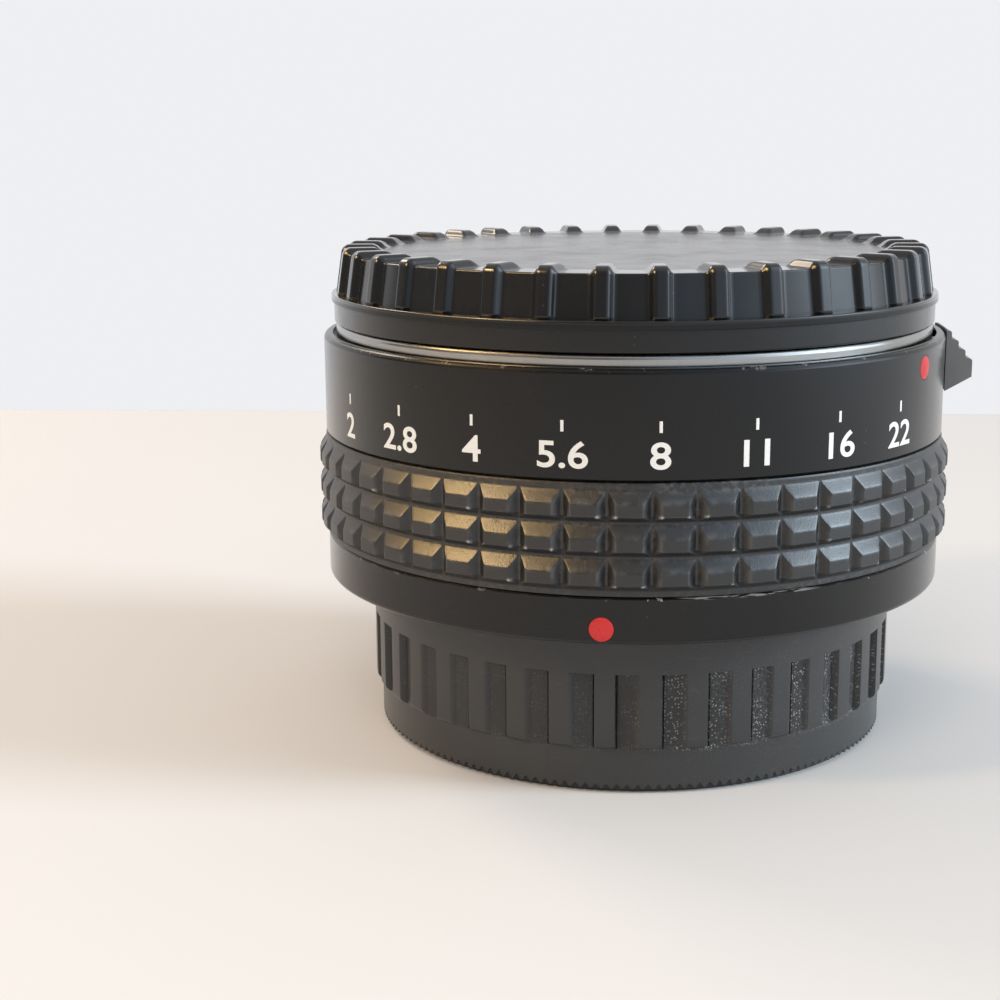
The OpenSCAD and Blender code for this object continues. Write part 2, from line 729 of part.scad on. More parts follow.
// Steel ring with three lugs that takes a lens
module front_mount_ring() {
  color([0.78, 0.78, 0.78]) difference() {
    union() {
      rotate_extrude() polygon([
        [entry_r, z_seat], [ring_r, z_seat], each round_edge(ring_r, z_front_face, ring_round),
        [entry_r, z_front_face]
      ]);
      for (k = [0 : tab_count - 1])
        sector(lug_in, entry_r + sink, z_seat, z_front_face,
          front_dot_az + (k + 0.5) * tab_step, lug_angle);
    }
    at_front_screws() countersunk_hole(screw_d, screw_head_d, screw_len);
    at(release_az) translate([pin_circle, 0, z_seat - over])
      cylinder(d = lock_pin_d + 2 * running_gap, h = ring_t + 2 * over);
  }
}

// Screws of the front mount ring
module front_mount_screws() {
  color([0.7, 0.7, 0.7]) at_front_screws() countersunk_screw(screw_d, screw_head_d, screw_len);
}

// Bowed leaf springs under the lugs
module bayonet_springs() {
  span = lug_angle - 16;
  steps = 16;
  leaf_gap = 0.02;
  r_in = lug_in + sink;
  r_out = entry_r - sink;
  flat_end = 0.25;
  drop = [for (k = [0 : steps]) let (u = k / steps)
    u < flat_end ? 0 : leaf_bow * sin(180 * (u - flat_end) / (1 - flat_end))];
  points = [for (k = [0 : steps]) let (
    a = span * k / steps,
    z = z_seat - leaf_gap - drop[k]
  ) each [
    [r_in * cos(a), r_in * sin(a), z], [r_out * cos(a), r_out * sin(a), z],
    [r_out * cos(a), r_out * sin(a), z - leaf_t], [r_in * cos(a), r_in * sin(a), z - leaf_t]
  ]];
  sides = [for (k = [0 : steps - 1]) for (s = [0 : 3]) let (
    a = 4 * k + s,
    b = 4 * k + (s + 1) % 4
  ) each [[a, b + 4, b], [a, a + 4, b + 4]]];
  last = 4 * steps;
  ends = [[0, 1, 2], [0, 2, 3], [last, last + 2, last + 1], [last, last + 3, last + 2]];
  color([0.75, 0.73, 0.68]) for (k = [0 : tab_count - 1])
    at(front_dot_az + (k + 0.5) * tab_step - span / 2) polyhedron(points, concat(sides, ends));
}

// Black ring that closes the throat under the lugs
module throat_liner() {
  color([0.06, 0.06, 0.06]) rotate_extrude() polygon([
    [liner_in, z_liner - liner_t], [liner_r, z_liner - liner_t], [liner_r, z_shelf + liner_lip],
    [liner_r - liner_wall, z_shelf + liner_lip], [liner_r - liner_wall, z_liner], [liner_in, z_liner]
  ]);
}

// Male bayonet with three tabs that goes into a camera
module rear_bayonet() {
  z_tab = z_rear_face - tab_depth - tab_t;
  color([0.75, 0.75, 0.74]) difference() {
    union() {
      rotate_extrude() polygon([
        [tube_in, z_rear_face - tube_len], [tube_r - soft_edge, z_rear_face - tube_len],
        [tube_r, z_rear_face - tube_len + soft_edge], [tube_r, z_rear_face],
        [rear_flange_r - soft_edge, z_rear_face], [rear_flange_r, z_rear_face + soft_edge],
        [rear_flange_r, z_pocket], [tube_in, z_pocket]
      ]);
      for (k = [0 : tab_count - 1])
        sector(tube_r - sink, tab_r, z_tab, z_tab + tab_t, rear_dot_az + k * tab_step, tab_angle);
    }
    at_rear_screws() countersunk_hole(screw_d, screw_head_d, screw_len);
  }
}

// Screws of the rear bayonet
module rear_mount_screws() {
  color([0.7, 0.7, 0.7]) at_rear_screws() countersunk_screw(screw_d, screw_head_d, screw_len);
}

// Tube that holds the glass, with a flange that is screwed to the web
module lens_cell() {
  slot_in = blade_in - move_gap;
  slot_out = blade_out + move_gap;
  margin = 2;
  color([0.08, 0.08, 0.08]) difference() {
    rotate_extrude() polygon([
      [cell_bore, z_cell], [cell_r, z_cell], [cell_r, z_web], [cell_flange_r, z_web],
      [cell_flange_r, z_cell_flange], [cell_r, z_cell_flange], [cell_r, z_cell_top - cell_chamfer],
      [cell_r - cell_chamfer, z_cell_top], [cell_bore, z_cell_top]
    ]);
    sector(slot_in, slot_out, z_web - over, z_cell_flange + over, stopdown_rear_az + stopdown_turn / 2,
      stopdown_turn + blade_angle + 2 * margin);
    sector(slot_in, slot_out, z_web - over, z_cell_flange + over, simulator_rear_az + simulator_turn / 2,
      simulator_turn + blade_angle + 2 * margin);
    at_cell_screws() round_hole(small_screw_d, cell_screw_len + fit_gap);
  }
}

// Screws of the lens cell
module lens_cell_screws() {
  color([0.6, 0.6, 0.6]) at_cell_screws() cheese_screw(small_screw_d, cell_screw_len);
}

// Front glass
module front_element() {
  color([0.55, 0.6, 0.72, 0.6]) lens(z_front_lens, front_edge, front_lens_top, front_lens_bottom);
}

// Front half of the cemented pair
module doublet_front() {
  color([0.6, 0.68, 0.7, 0.6])
    lens(z_doublet_front, doublet_front_edge, doublet_top, -doublet_joint - cement);
}

// Rear half of the cemented pair
module doublet_rear() {
  color([0.6, 0.66, 0.72, 0.6]) lens(z_doublet_rear, doublet_rear_edge, doublet_joint, doublet_bottom);
}

// Rear glass
module rear_element() {
  color([0.55, 0.62, 0.7, 0.6]) lens(z_rear_lens, rear_edge, rear_lens_top, rear_lens_bottom);
}

// Spacer ring behind the front glass
module front_spacer() {
  color([0.12, 0.12, 0.12]) ring(lens_ring_in, lens_r, z_front_spacer, z_front_lens);
}

// Spacer ring before the rear glass
module rear_spacer() {
  color([0.12, 0.12, 0.12]) ring(lens_ring_in, lens_r, z_rear_spacer, z_doublet_rear);
}

// Threaded ring with two spanner notches
module retainer(z, notch_z) {
  notch = 1.6;
  difference() {
    ring(lens_ring_in, lens_r, z, z + retainer_h);
    for (side = [0, 180]) at(20 + side) translate([lens_clear, -notch / 2, notch_z])
      cube([lens_rim + over, notch, retainer_h / 2 + over]);
  }
}

// Ring that holds the front glass
module front_retainer() {
  color([0.08, 0.08, 0.08]) retainer(z_front_retainer, z_front_retainer + retainer_h / 2);
}

// Ring that holds the rear glass
module rear_retainer() {
  color([0.08, 0.08, 0.08]) retainer(z_cell, z_cell - over);
}

// Domed red bead set in a blind hole
module index_dot(az, z) {
  ball = (dot_d * dot_d / 4 + dot_proud * dot_proud) / (2 * dot_proud);
  color([0.75, 0.1, 0.1]) at(az) translate([barrel_r, 0, z]) rotate([0, 90, 0]) intersection() {
    translate([0, 0, -dot_depth]) cylinder(d = dot_d, h = dot_depth + over, $fn = local_fn);
    translate([0, 0, dot_proud - ball]) sphere(r = ball);
  }
}

// Red dot that a lens is lined up with
module front_index_dot() {
  index_dot(front_dot_az, z_dot_front);
}

// Red dot that is lined up with a camera
module rear_index_dot() {
  index_dot(rear_dot_az, z_dot_rear);
}

// Set screws that join the two barrel halves under the grip
module barrel_set_screws() {
  slit = 0.3;
  color([0.55, 0.55, 0.55]) at_set_screws() difference() {
    translate([0, 0, -set_screw_len]) cylinder(d = screw_d, h = set_screw_len - fit_gap, $fn = local_fn);
    translate([-screw_d, -slit / 2, -2 * slit]) cube([2 * screw_d, slit, over]);
  }
}

// Bracket inside the barrel, with the post that guides the release spring
module release_bracket() {
  foot_in = pin_circle - bracket_foot;
  window = release_coil_d + 4 * move_gap;
  color([0.5, 0.5, 0.48]) at(release_az) difference() {
    union() {
      intersection() {
        union() {
          translate([foot_in, -bracket_w / 2, z_bracket_top - bracket_t])
            cube([bore_r, bracket_w, bracket_t]);
          translate([bracket_leg_in, -bracket_w / 2, z_bracket_top - bracket_t])
            cube([bore_r, bracket_w, bracket_t + bracket_leg_h]);
        }
        translate([0, 0, z_bracket_top - bracket_t - over])
          cylinder(r = bore_r - fit_gap, h = bracket_t + bracket_leg_h + 2 * over);
      }
      translate([pin_circle, 0, z_bracket_top - bracket_t / 2])
        cylinder(r = bracket_post_r, h = bracket_t / 2 + bracket_post_h, $fn = local_fn);
    }
    translate([bracket_leg_in - sink, -window / 2, z_bracket_top])
      cube([bore_r, window, bracket_leg_h + over]);
    for (y = [-bracket_screw_y, bracket_screw_y])
      translate([bracket_leg_in, y, z_bracket_top + bracket_leg_h / 2]) rotate([0, -90, 0])
        round_hole(small_screw_d, bracket_screw_len + fit_gap);
  }
}

// Screws of the bracket
module release_bracket_screws() {
  color([0.6, 0.6, 0.6]) at_bracket_screws() cheese_screw(small_screw_d, bracket_screw_len);
}

// Coil that pushes the lever back up
module release_spring() {
  z = z_bracket_top + spring_end_gap + release_wire / 2;
  color([0.72, 0.7, 0.66]) at(release_az) translate([pin_circle, 0, z])
    coil(release_coil_d / 2, release_pitch, release_spring_turns, release_wire, release_steps);
}

// Thumb piece with steps, and the stem through the barrel's slot
module release_lever() {
  plate_r = lever_in + lever_plate;
  step_run = (lever_out - plate_r) / lever_steps;
  z_tip = z_lever_top - lever_steps * lever_step_drop;
  outline = concat(
    [[barrel_r - over, z_lever], [barrel_r, z_lever], [lever_out, z_tip - lever_tip_h]],
    [for (k = [0 : lever_steps - 1]) let (
      x = lever_out - k * step_run,
      z = z_tip + k * lever_step_drop
    ) each concat(round_edge(x, z, lever_round), [[x - step_run, z + lever_slope]])],
    round_edge(plate_r, z_lever_top, lever_round),
    [[barrel_r - over, z_lever_top]]
  );
  color([0.12, 0.12, 0.125]) at(release_az) difference() {
    union() {
      difference() {
        translate([0, lever_w / 2, 0]) rotate([90, 0, 0]) linear_extrude(lever_w) polygon(outline);
        translate([0, 0, z_lever - over]) cylinder(r = lever_in, h = lever_h + 2 * over);
      }
      translate([carriage_out + fit_gap, -stem_w / 2, z_stem])
        cube([plate_r - carriage_out - fit_gap - sink, stem_w, stem_h]);
    }
    at_lever_screws() round_hole(small_screw_d, lever_screw_len + fit_gap);
  }
}

// Block inside the barrel that carries the lock pin
module release_carriage() {
  color([0.6, 0.6, 0.6]) at(release_az) difference() {
    translate([carriage_in, -carriage_w / 2, z_stem]) cube([carriage_d, carriage_w, stem_h]);
    translate([pin_circle, 0, z_stem - over])
      cylinder(d = lock_pin_d + 2 * fit_gap, h = stem_h + 2 * over);
    at_lever_screws() round_hole(small_screw_d, lever_screw_len);
  }
}

// Screws that hold the carriage to the lever's stem
module lever_screws() {
  color([0.55, 0.55, 0.55]) at(release_az) at_lever_screws() translate([0, 0, -lever_screw_len])
    cylinder(d = small_screw_d, h = lever_screw_len, $fn = local_fn);
}

// Pin that locks a lens against turning
module lock_pin() {
  tip = 0.25;
  length = z_front_face + lock_pin_proud - z_stem;
  color([0.78, 0.78, 0.78]) at(release_az) translate([pin_circle, 0, z_stem]) union() {
    cylinder(d = lock_pin_d, h = length - tip);
    translate([0, 0, length - tip]) cylinder(d1 = lock_pin_d, d2 = lock_pin_d - 2 * tip, h = tip);
  }
}

// Ring that turns on the lens cell, with a blade to the front and a blade to the rear
module coupling_ring(z, front_az, rear_az, rear_end) {
  union() {
    ring(cell_r + running_gap, hub_out, z, z + hub_h);
    sector(hub_out - sink, blade_out, z, z + hub_h, front_az, blade_angle);
    sector(blade_in, blade_out, z, z_front_blade, front_az, blade_angle);
    sector(hub_out - sink, blade_out, z, z + hub_h, rear_az, blade_angle);
    sector(blade_in, blade_out, rear_end, z + hub_h, rear_az, blade_angle);
  }
}

// Ring that passes on the camera's stop-down lever
module stopdown_ring() {
  color([0.62, 0.6, 0.56])
    coupling_ring(z_stopdown, stopdown_front_az, stopdown_rear_az, z_rear_face - stopdown_reach);
}

// Return spring of the stop-down ring
module stopdown_spring() {
  color([0.72, 0.7, 0.66]) translate([0, 0, z_stopdown_spring + ring_wire / 2])
    coil(spring_mid_r, ring_spring_pitch, ring_spring_turns, ring_wire, ring_steps);
}

// Ring that passes on the lens's aperture setting
module simulator_ring() {
  color([0.3, 0.3, 0.3])
    coupling_ring(z_simulator, simulator_front_az, simulator_rear_az, z_rear_face - simulator_reach);
}

// Return spring of the simulator ring
module simulator_spring() {
  color([0.72, 0.7, 0.66]) translate([0, 0, z_simulator_spring + ring_wire / 2])
    coil(spring_mid_r, ring_spring_pitch, ring_spring_turns, ring_wire, ring_steps);
}

// Split ring that keeps the coupling rings on the lens cell
module ring_circlip() {
  split_az = 200;
  split = 15;
  color([0.4, 0.4, 0.4]) sector(cell_r + fit_gap, hub_out - sink, z_circlip, z_circlip + circlip_h,
    split_az + 180, 360 - split);
}

// Plastic cap with ribs that covers the front mount
module front_cap() {
  tab_bottom = z_front_face - tab_depth - tab_t + cap_play / 2;
  bead_edge = 0.1;
  color([0.06, 0.06, 0.065]) union() {
    rotate_extrude() polygon([
      [0, z_under], [side_in, z_under], [side_in, z_bead], [skirt_in, z_bead], [skirt_in, z_cap],
      [skirt_r, z_cap], [skirt_r, z_bead], [bead_r - bead_edge, z_bead], [bead_r, z_bead + bead_edge],
      [bead_r, z_ribs - bead_edge], [bead_r - bead_edge, z_ribs],
      [valley_r, z_ribs], [valley_r - draft_at(z_disc), z_disc], [0, z_disc]
    ]);
    for (k = [0 : rib_count - 1]) at((k + 0.5) * 360 / rib_count) cap_rib();
    ring(plug_in, plug_r, z_front_face - tube_len + cap_play, z_under + sink);
    for (k = [0 : tab_count - 1])
      sector(plug_r - sink, tab_r - cap_play / 2, tab_bottom, tab_bottom + tab_t - cap_play,
        front_dot_az + k * tab_step, cap_tab_angle);
  }
}

// How far the ribbed side has drawn in at a level
function draft_at(z) = cap_draft * (z - z_ribs) / cap_rib_side;

// One rib, up the side and in over the top, rooted in the wall; its flanks slope on both stretches
module cap_rib() {
  root = rib_h;
  foot = rib_w / 2 + rib_flank_run * root / rib_h;
  head = rib_w / 2 - rib_flank_run * (rib_h + root) / rib_h;
  rib_end = rib_top_r - rib_run;
  z_foot = z_ribs - sink;
  z_shoulder = z_crown - rib_corner;
  side_length = cap_rib_side + 2 * over;
  flanks = [[-root, -foot], [rib_h + root, -head], [rib_h + root, head], [-root, foot]];
  intersection() {
    translate([0, foot, 0]) rotate([90, 0, 0]) linear_extrude(2 * foot) polygon([
      [rib_r - draft_at(z_foot), z_foot], [rib_r - draft_at(z_shoulder), z_shoulder],
      [rib_top_r - rib_corner, z_crown], [rib_end + rib_h, z_crown], [rib_end - root, z_disc - root],
      [valley_r - root, z_disc - root], [valley_r - root, z_foot]
    ]);
    translate([valley_r, 0, z_ribs]) rotate([0, -cap_tilt, 0]) translate([0, 0, -over])
      linear_extrude(side_length) polygon(concat(flanks, [[-2 * rib_run, foot], [-2 * rib_run, -foot]]));
    translate([rib_end - 2 * rib_h, 0, z_disc]) rotate([90, 0, 90]) linear_extrude(rib_run + 2 * rib_run)
      polygon(concat([for (f = flanks) [f[1], f[0]]], [[foot, -side_length], [-foot, -side_length]]));
  }
}

rear_cap();
rear_barrel();
front_barrel();
rubber_grip();
front_mount_ring();
front_mount_screws();
bayonet_springs();
throat_liner();
rear_bayonet();
rear_mount_screws();
lens_cell();
lens_cell_screws();
front_element();
doublet_front();
doublet_rear();
rear_element();
front_spacer();
rear_spacer();
front_retainer();
rear_retainer();
front_index_dot();
rear_index_dot();
barrel_set_screws();
release_bracket();
release_bracket_screws();
release_spring();
release_lever();
release_carriage();
lever_screws();
lock_pin();
stopdown_ring();
stopdown_spring();
simulator_ring();
simulator_spring();
ring_circlip();
front_cap();
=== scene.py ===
import json
import math

import bmesh
import bpy
import numpy as np
from mathutils import Matrix, Vector


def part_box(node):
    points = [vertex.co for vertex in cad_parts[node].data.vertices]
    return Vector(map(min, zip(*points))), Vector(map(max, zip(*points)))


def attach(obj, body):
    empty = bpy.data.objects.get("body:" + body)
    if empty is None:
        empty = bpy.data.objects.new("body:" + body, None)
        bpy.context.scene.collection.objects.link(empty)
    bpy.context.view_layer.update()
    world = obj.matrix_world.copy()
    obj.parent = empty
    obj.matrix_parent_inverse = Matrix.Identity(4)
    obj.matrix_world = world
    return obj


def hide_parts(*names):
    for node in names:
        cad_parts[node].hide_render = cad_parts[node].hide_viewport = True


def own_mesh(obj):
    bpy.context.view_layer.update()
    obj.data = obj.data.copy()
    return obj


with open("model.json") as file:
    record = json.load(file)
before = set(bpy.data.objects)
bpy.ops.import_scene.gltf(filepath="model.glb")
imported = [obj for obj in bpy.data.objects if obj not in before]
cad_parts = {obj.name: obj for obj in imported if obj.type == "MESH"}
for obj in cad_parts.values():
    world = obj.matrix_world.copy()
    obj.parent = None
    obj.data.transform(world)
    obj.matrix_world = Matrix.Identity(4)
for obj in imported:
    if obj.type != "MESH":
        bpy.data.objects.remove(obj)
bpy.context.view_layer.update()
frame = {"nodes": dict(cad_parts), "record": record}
nodes = frame["nodes"]
mm = 0.001


# lowest level, highest level and outer radius of a round CAD node, in millimetres
def roundSpan(node):
    low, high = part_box(node)
    return low.z / mm, high.z / mm, high.y / mm


# Camera of the photograph
viewpoint = {
    "place": (0.0, -181.6, 61.8),  # mm
    "pitchDown": 12.295,  # degrees
    "yaw": -4.267,
    "roll": -0.423,
    "focalPixels": 1778.1,
    "framePixels": 1000,
    "sensor": 36.0,
    "nearest": 0.01,  # m
}


# looks along its yaw and pitch, rolled about that line; lens = focal length in pixels * sensor / frame
def makeCamera(spec):
    pitch, yaw, roll = (math.radians(spec[k]) for k in ("pitchDown", "yaw", "roll"))
    ahead = Vector((math.sin(yaw) * math.cos(pitch), math.cos(yaw) * math.cos(pitch), -math.sin(pitch)))
    right = Vector((math.cos(yaw), -math.sin(yaw), 0))
    up = right.cross(ahead)
    right, up = (
        math.cos(roll) * right + math.sin(roll) * up,
        math.cos(roll) * up - math.sin(roll) * right,
    )
    data = bpy.data.cameras.new("photoCamera")
    data.sensor_width = spec["sensor"]
    data.lens = spec["focalPixels"] * spec["sensor"] / spec["framePixels"]
    data.clip_start = spec["nearest"]
    camera = bpy.data.objects.new("photoCamera", data)
    camera.matrix_world = Matrix.Translation(Vector(spec["place"]) * mm) @ Matrix(
        (right, up, -ahead)
    ).transposed().to_4x4()
    bpy.context.scene.collection.objects.link(camera)
    bpy.context.scene.camera = camera


makeCamera(viewpoint)
print("camera set")


# A wire carries a socket; sums on wires become Math nodes
class Wire:
    def __init__(self, tree, socket=None):
        self.tree = tree
        self.socket = socket

    # adds a node: its settings first, then the values or links of its sockets
    def node(self, kind, settings=None, sockets=None, out=0):
        made = self.tree.nodes.new(kind)
        for key, value in (settings or {}).items():
            setattr(made, key, value)
        for key, value in (sockets or {}).items():
            if isinstance(value, Wire):
                self.tree.links.new(value.socket, made.inputs[key])
            else:
                made.inputs[key].default_value = value
        return Wire(self.tree, made.outputs[out] if made.outputs else None)

    # another output of the same node
    def also(self, name):
        return Wire(self.tree, self.socket.node.outputs[name])

    def maths(self, operation, first, second=0.0):
        return self.node("ShaderNodeMath", {"operation": operation}, {0: first, 1: second})

    def __add__(self, other):
        return self.maths("ADD", self, other)

    def __radd__(self, other):
        return self.maths("ADD", other, self)

    def __sub__(self, other):
        return self.maths("SUBTRACT", self, other)

    def __rsub__(self, other):
        return self.maths("SUBTRACT", other, self)

    def __mul__(self, other):
        return self.maths("MULTIPLY", self, other)

    def __rmul__(self, other):
        return self.maths("MULTIPLY", other, self)

    def __truediv__(self, other):
        return self.maths("DIVIDE", self, other)

    def __rtruediv__(self, other):
        return self.maths("DIVIDE", other, self)

    def __pow__(self, other):
        return self.maths("POWER", self, other)


# Object coordinates in millimetres
def surfacePoint(wire):
    place = wire.node("ShaderNodeTexCoord", out="Object")
    return wire.node("ShaderNodeVectorMath", {"operation": "SCALE"}, {0: place, "Scale": 1 / mm})


# a value that the mesh carries at its points
def meshValue(wire, name):
    return wire.node("ShaderNodeAttribute", {"attribute_name": name}, {}, "Fac")


# the three parts of a vector
def axes(point):
    split = point.node("ShaderNodeSeparateXYZ", {}, {0: point}, "X")
    return split, split.also("Y"), split.also("Z")


# a vector from its parts, of which one at least is a wire
def joinAxes(x, y, z):
    source = next(part for part in (x, y, z) if isinstance(part, Wire))
    return source.node("ShaderNodeCombineXYZ", {}, {"X": x, "Y": y, "Z": z})


# distance from the optical axis, the way round it as an arc on a given radius, and the level
def aroundAxis(point, onRadius):
    x, y, z = axes(point)
    radius = (x * x + y * y) ** 0.5
    arc = x.maths("ARCTAN2", x, y * -1) * onRadius
    return radius, arc, z


# soft noise from 0 to 1 with lumps of about that size
def grain(point, size, detail=2.0, rough=0.5):
    sockets = {"Vector": point, "Scale": 1 / size, "Detail": detail, "Roughness": rough}
    return point.node("ShaderNodeTexNoise", {}, sockets, "Fac")


# 0 below low, 1 above high, smooth between
def rise(value, low, high):
    settings = {"interpolation_type": "SMOOTHSTEP", "clamp": True}
    return value.node("ShaderNodeMapRange", settings, {"Value": value, "From Min": low, "From Max": high})


# rises from start to full, and falls again from fade to end
def between(value, start, full, fade, end):
    return rise(value, start, full) * (1 - rise(value, fade, end))


# small round specks, one in a share of the cells of a spacing; flat ones use only the first two axes
def specks(point, spacing, size, share, flat=False):
    settings = {"voronoi_dimensions": "2D" if flat else "3D"}
    cell = point.node("ShaderNodeTexVoronoi", settings, {"Vector": point, "Scale": 1 / spacing}, "Distance")
    chance = cell.node("ShaderNodeSeparateColor", {}, {0: cell.also("Color")}, "Red")
    reach = size / spacing
    return (1 - rise(cell, 0.5 * reach, reach)) * (1 - rise(chance, share, share + 0.02))


# the first tone where the mask is 0, the second where it is 1
def mixTone(mask, first, second):
    settings = {"data_type": "RGBA", "clamp_factor": True}
    return mask.node("ShaderNodeMix", settings, {0: mask, 6: first, 7: second}, 2)


# normal of a relief that is depth millimetres high where the height is 1
def bump(height, depth, strength):
    sockets = {"Height": height, "Distance": depth * mm, "Strength": strength}
    return height.node("ShaderNodeBump", {}, sockets, "Normal")


# a grey with more red and less blue by the share of warmth
def grey(value, warm=0.0):
    return (value * (1 + warm), value, value * (1 - warm), 1.0)


# a material whose inputs come from a recipe: a function of the wire to its tree
def makeFinish(name, recipe):
    material = bpy.data.materials.new(name)
    material.use_nodes = True
    tree = material.node_tree
    tree.nodes.clear()
    start = Wire(tree)
    shader = start.node("ShaderNodeBsdfPrincipled", {}, recipe(start), "BSDF")
    start.node("ShaderNodeOutputMaterial", {}, {"Surface": shader})
    return material


# Looks: sizes in millimetres; lint is (spacing, size, share of the cells)
rubberLook = {
    "black": 0.006,
    # near-black tone painted on the studs' lower slopes as shade
    "underShadeTone": grey(0.001),
    "dustTone": grey(0.16, 0.06),
    "rubbedTone": grey(0.085),
    "nickTone": grey(0.55),
    "grainSize": 0.15,
    "grainDepth": 0.026,
    "patchSize": 7.0,
    "dustSize": 0.5,
    "rubSize": 1.6,
    "nickSize": 2.6,
    "lint": (0.9, 0.07, 0.28),
    "rubbedShare": 0.55,
    "dustShare": 0.25,
    "lintShare": 0.5,
    "underShadeShare": 0.85,
    "roughness": 0.27,
}


# Dull rubber: fine moulded grain, dust in the grooves, rubbed and nicked stud edges, painted shade under the
# studs
def rubberRecipe(wire):
    look = rubberLook
    point = surfacePoint(wire)
    valueNames = ("studHeight", "studEdge", "studFoot", "studUnder")
    height, edge, foot, under = (meshValue(wire, name) for name in valueNames)
    fine = grain(point, look["grainSize"], 3)
    patches = grain(point, look["patchSize"], 3)
    dust = rise(grain(point, look["dustSize"], 4, 0.65), 0.44, 0.66) * rise(patches, 0.35, 0.6)
    dust = dust * (1 - rise(height, 0.0, 0.45))
    rubbed = edge * rise(grain(point, look["rubSize"], 3), 0.42, 0.62)
    nicks = foot * rise(grain(point, look["nickSize"], 1), 0.56, 0.62)
    lint = specks(point, *look["lint"])
    tone = mixTone(patches, grey(look["black"]), grey(look["black"] * 1.5))
    tone = mixTone(rubbed * look["rubbedShare"], tone, look["rubbedTone"])
    tone = mixTone(dust * look["dustShare"], tone, look["dustTone"])
    tone = mixTone(lint * look["lintShare"], tone, look["dustTone"])
    # painted shade: the studs' downward-facing lower slopes are darkened to near black
    tone = mixTone(under * look["underShadeShare"], tone, look["underShadeTone"])
    tone = mixTone(nicks, tone, look["nickTone"])
    return {
        "Base Color": tone,
        "Roughness": look["roughness"] + 0.2 * fine + 0.25 * dust + 0.3 * under,
        "Normal": bump(fine, look["grainDepth"], 0.8),
        "Specular IOR Level": 0.75,
    }


barrelLook = {
    "black": 0.004,
    "wornTone": (0.42, 0.4, 0.37, 1.0),
    "lintTone": grey(0.2, 0.04),
    # tone of the painted highlight along the lip's lower edge
    "edgeHighlightTone": grey(0.1),
    "lineSize": 0.045,
    "lineDepth": 0.0015,
    "poreSize": 0.05,
    "patchSize": 9.0,
    "topBand": 0.42,
    "chipSize": 1.3,
    "chipPatch": 14.0,
    "rubSize": 0.35,
    "rubArc": (3.5, 6.0, 15.5, 19.0),
    "coarseLint": (1.6, 0.09, 0.2),
    "fineLint": (0.8, 0.045, 0.16),
    "roughness": 0.24,
}


# Satin black anodising: faint turned lines, small specks, chips on the handled edges and a rubbed line
# on the lip
def barrelRecipe(wire):
    look = barrelLook
    topEdge, outer = roundSpan("front_barrel")[1:]
    lipTop, lipLow = roundSpan("rubber_grip")[0], roundSpan("rear_cap")[1]
    point = surfacePoint(wire)
    radius, arc, level = aroundAxis(point, outer)
    turned = grain(joinAxes(radius, arc * 0.004, level), look["lineSize"], 1)
    pores = grain(point, look["poreSize"], 2)
    patches = grain(point, look["patchSize"], 3)
    outside = rise(radius, outer - 0.4, outer - 0.05)
    nearTop = rise(level, topEdge - look["topBand"], topEdge - 0.1) * rise(radius, outer - 0.6, outer - 0.3)
    nearLip = between(level, lipTop - 0.4, lipTop - 0.25, lipTop, lipTop + 0.1) * outside
    nearLip = nearLip * rise(grain(point, look["chipPatch"], 1), 0.46, 0.56)
    chips = rise(grain(point, look["chipSize"], 4, 0.7), 0.6, 0.64) * (nearTop * 0.3 + nearLip)
    rubs = rise(grain(joinAxes(radius, arc * 0.2, level * 2), look["rubSize"], 3), 0.44, 0.57) * outside
    rubs = rubs * between(level, lipTop - 0.34, lipTop - 0.2, lipTop, lipTop + 0.1)
    rubs = rubs * between(arc, *look["rubArc"])
    # painted highlight: an even lighter band along the lip's lower edge stands in for its reflection of the
    # pale table
    lipEdgeHighlight = (1 - rise(level, lipLow + 0.3, lipLow + 0.5)) * rise(radius, outer - 0.45, outer - 0.2)
    lint = specks(point, *look["coarseLint"]) + specks(point, *look["fineLint"])
    tone = mixTone(patches, grey(look["black"]), grey(look["black"] * 1.25))
    tone = mixTone(lint * 0.3, tone, look["lintTone"])
    tone = mixTone(lipEdgeHighlight * 0.6, tone, look["edgeHighlightTone"])
    tone = mixTone(chips + rubs * 0.7, tone, look["wornTone"])
    return {
        "Base Color": tone,
        "Roughness": look["roughness"] + 0.01 * turned + 0.05 * pores,
        "Metallic": chips * 0.4,
        "Normal": bump(turned * 0.06 + 0.6 * pores, look["lineDepth"], 0.7),
        "Specular IOR Level": 0.1,
        "Coat Weight": 1 - 0.4 * rise(level, topEdge - 0.5, topEdge - 0.3),
        "Coat IOR": 1.36,
        "Coat Roughness": 0.25,
    }


capLook = {
    "blackTone": grey(0.01),
    "discTone": grey(0.06),
    "skirtTone": grey(0.006),
    "lintTone": grey(0.3),
    "arcRadius": 29.0,
    "beadRadius": (28.0, 29.0),
    "discGrain": 0.12,
    "relief": 0.02,
    "waveSize": 2.4,
    "smearSize": 5.0,
    "hairSize": 0.16,
    "lint": (1.1, 0.06, 0.3),
    "roughness": 0.13,
}


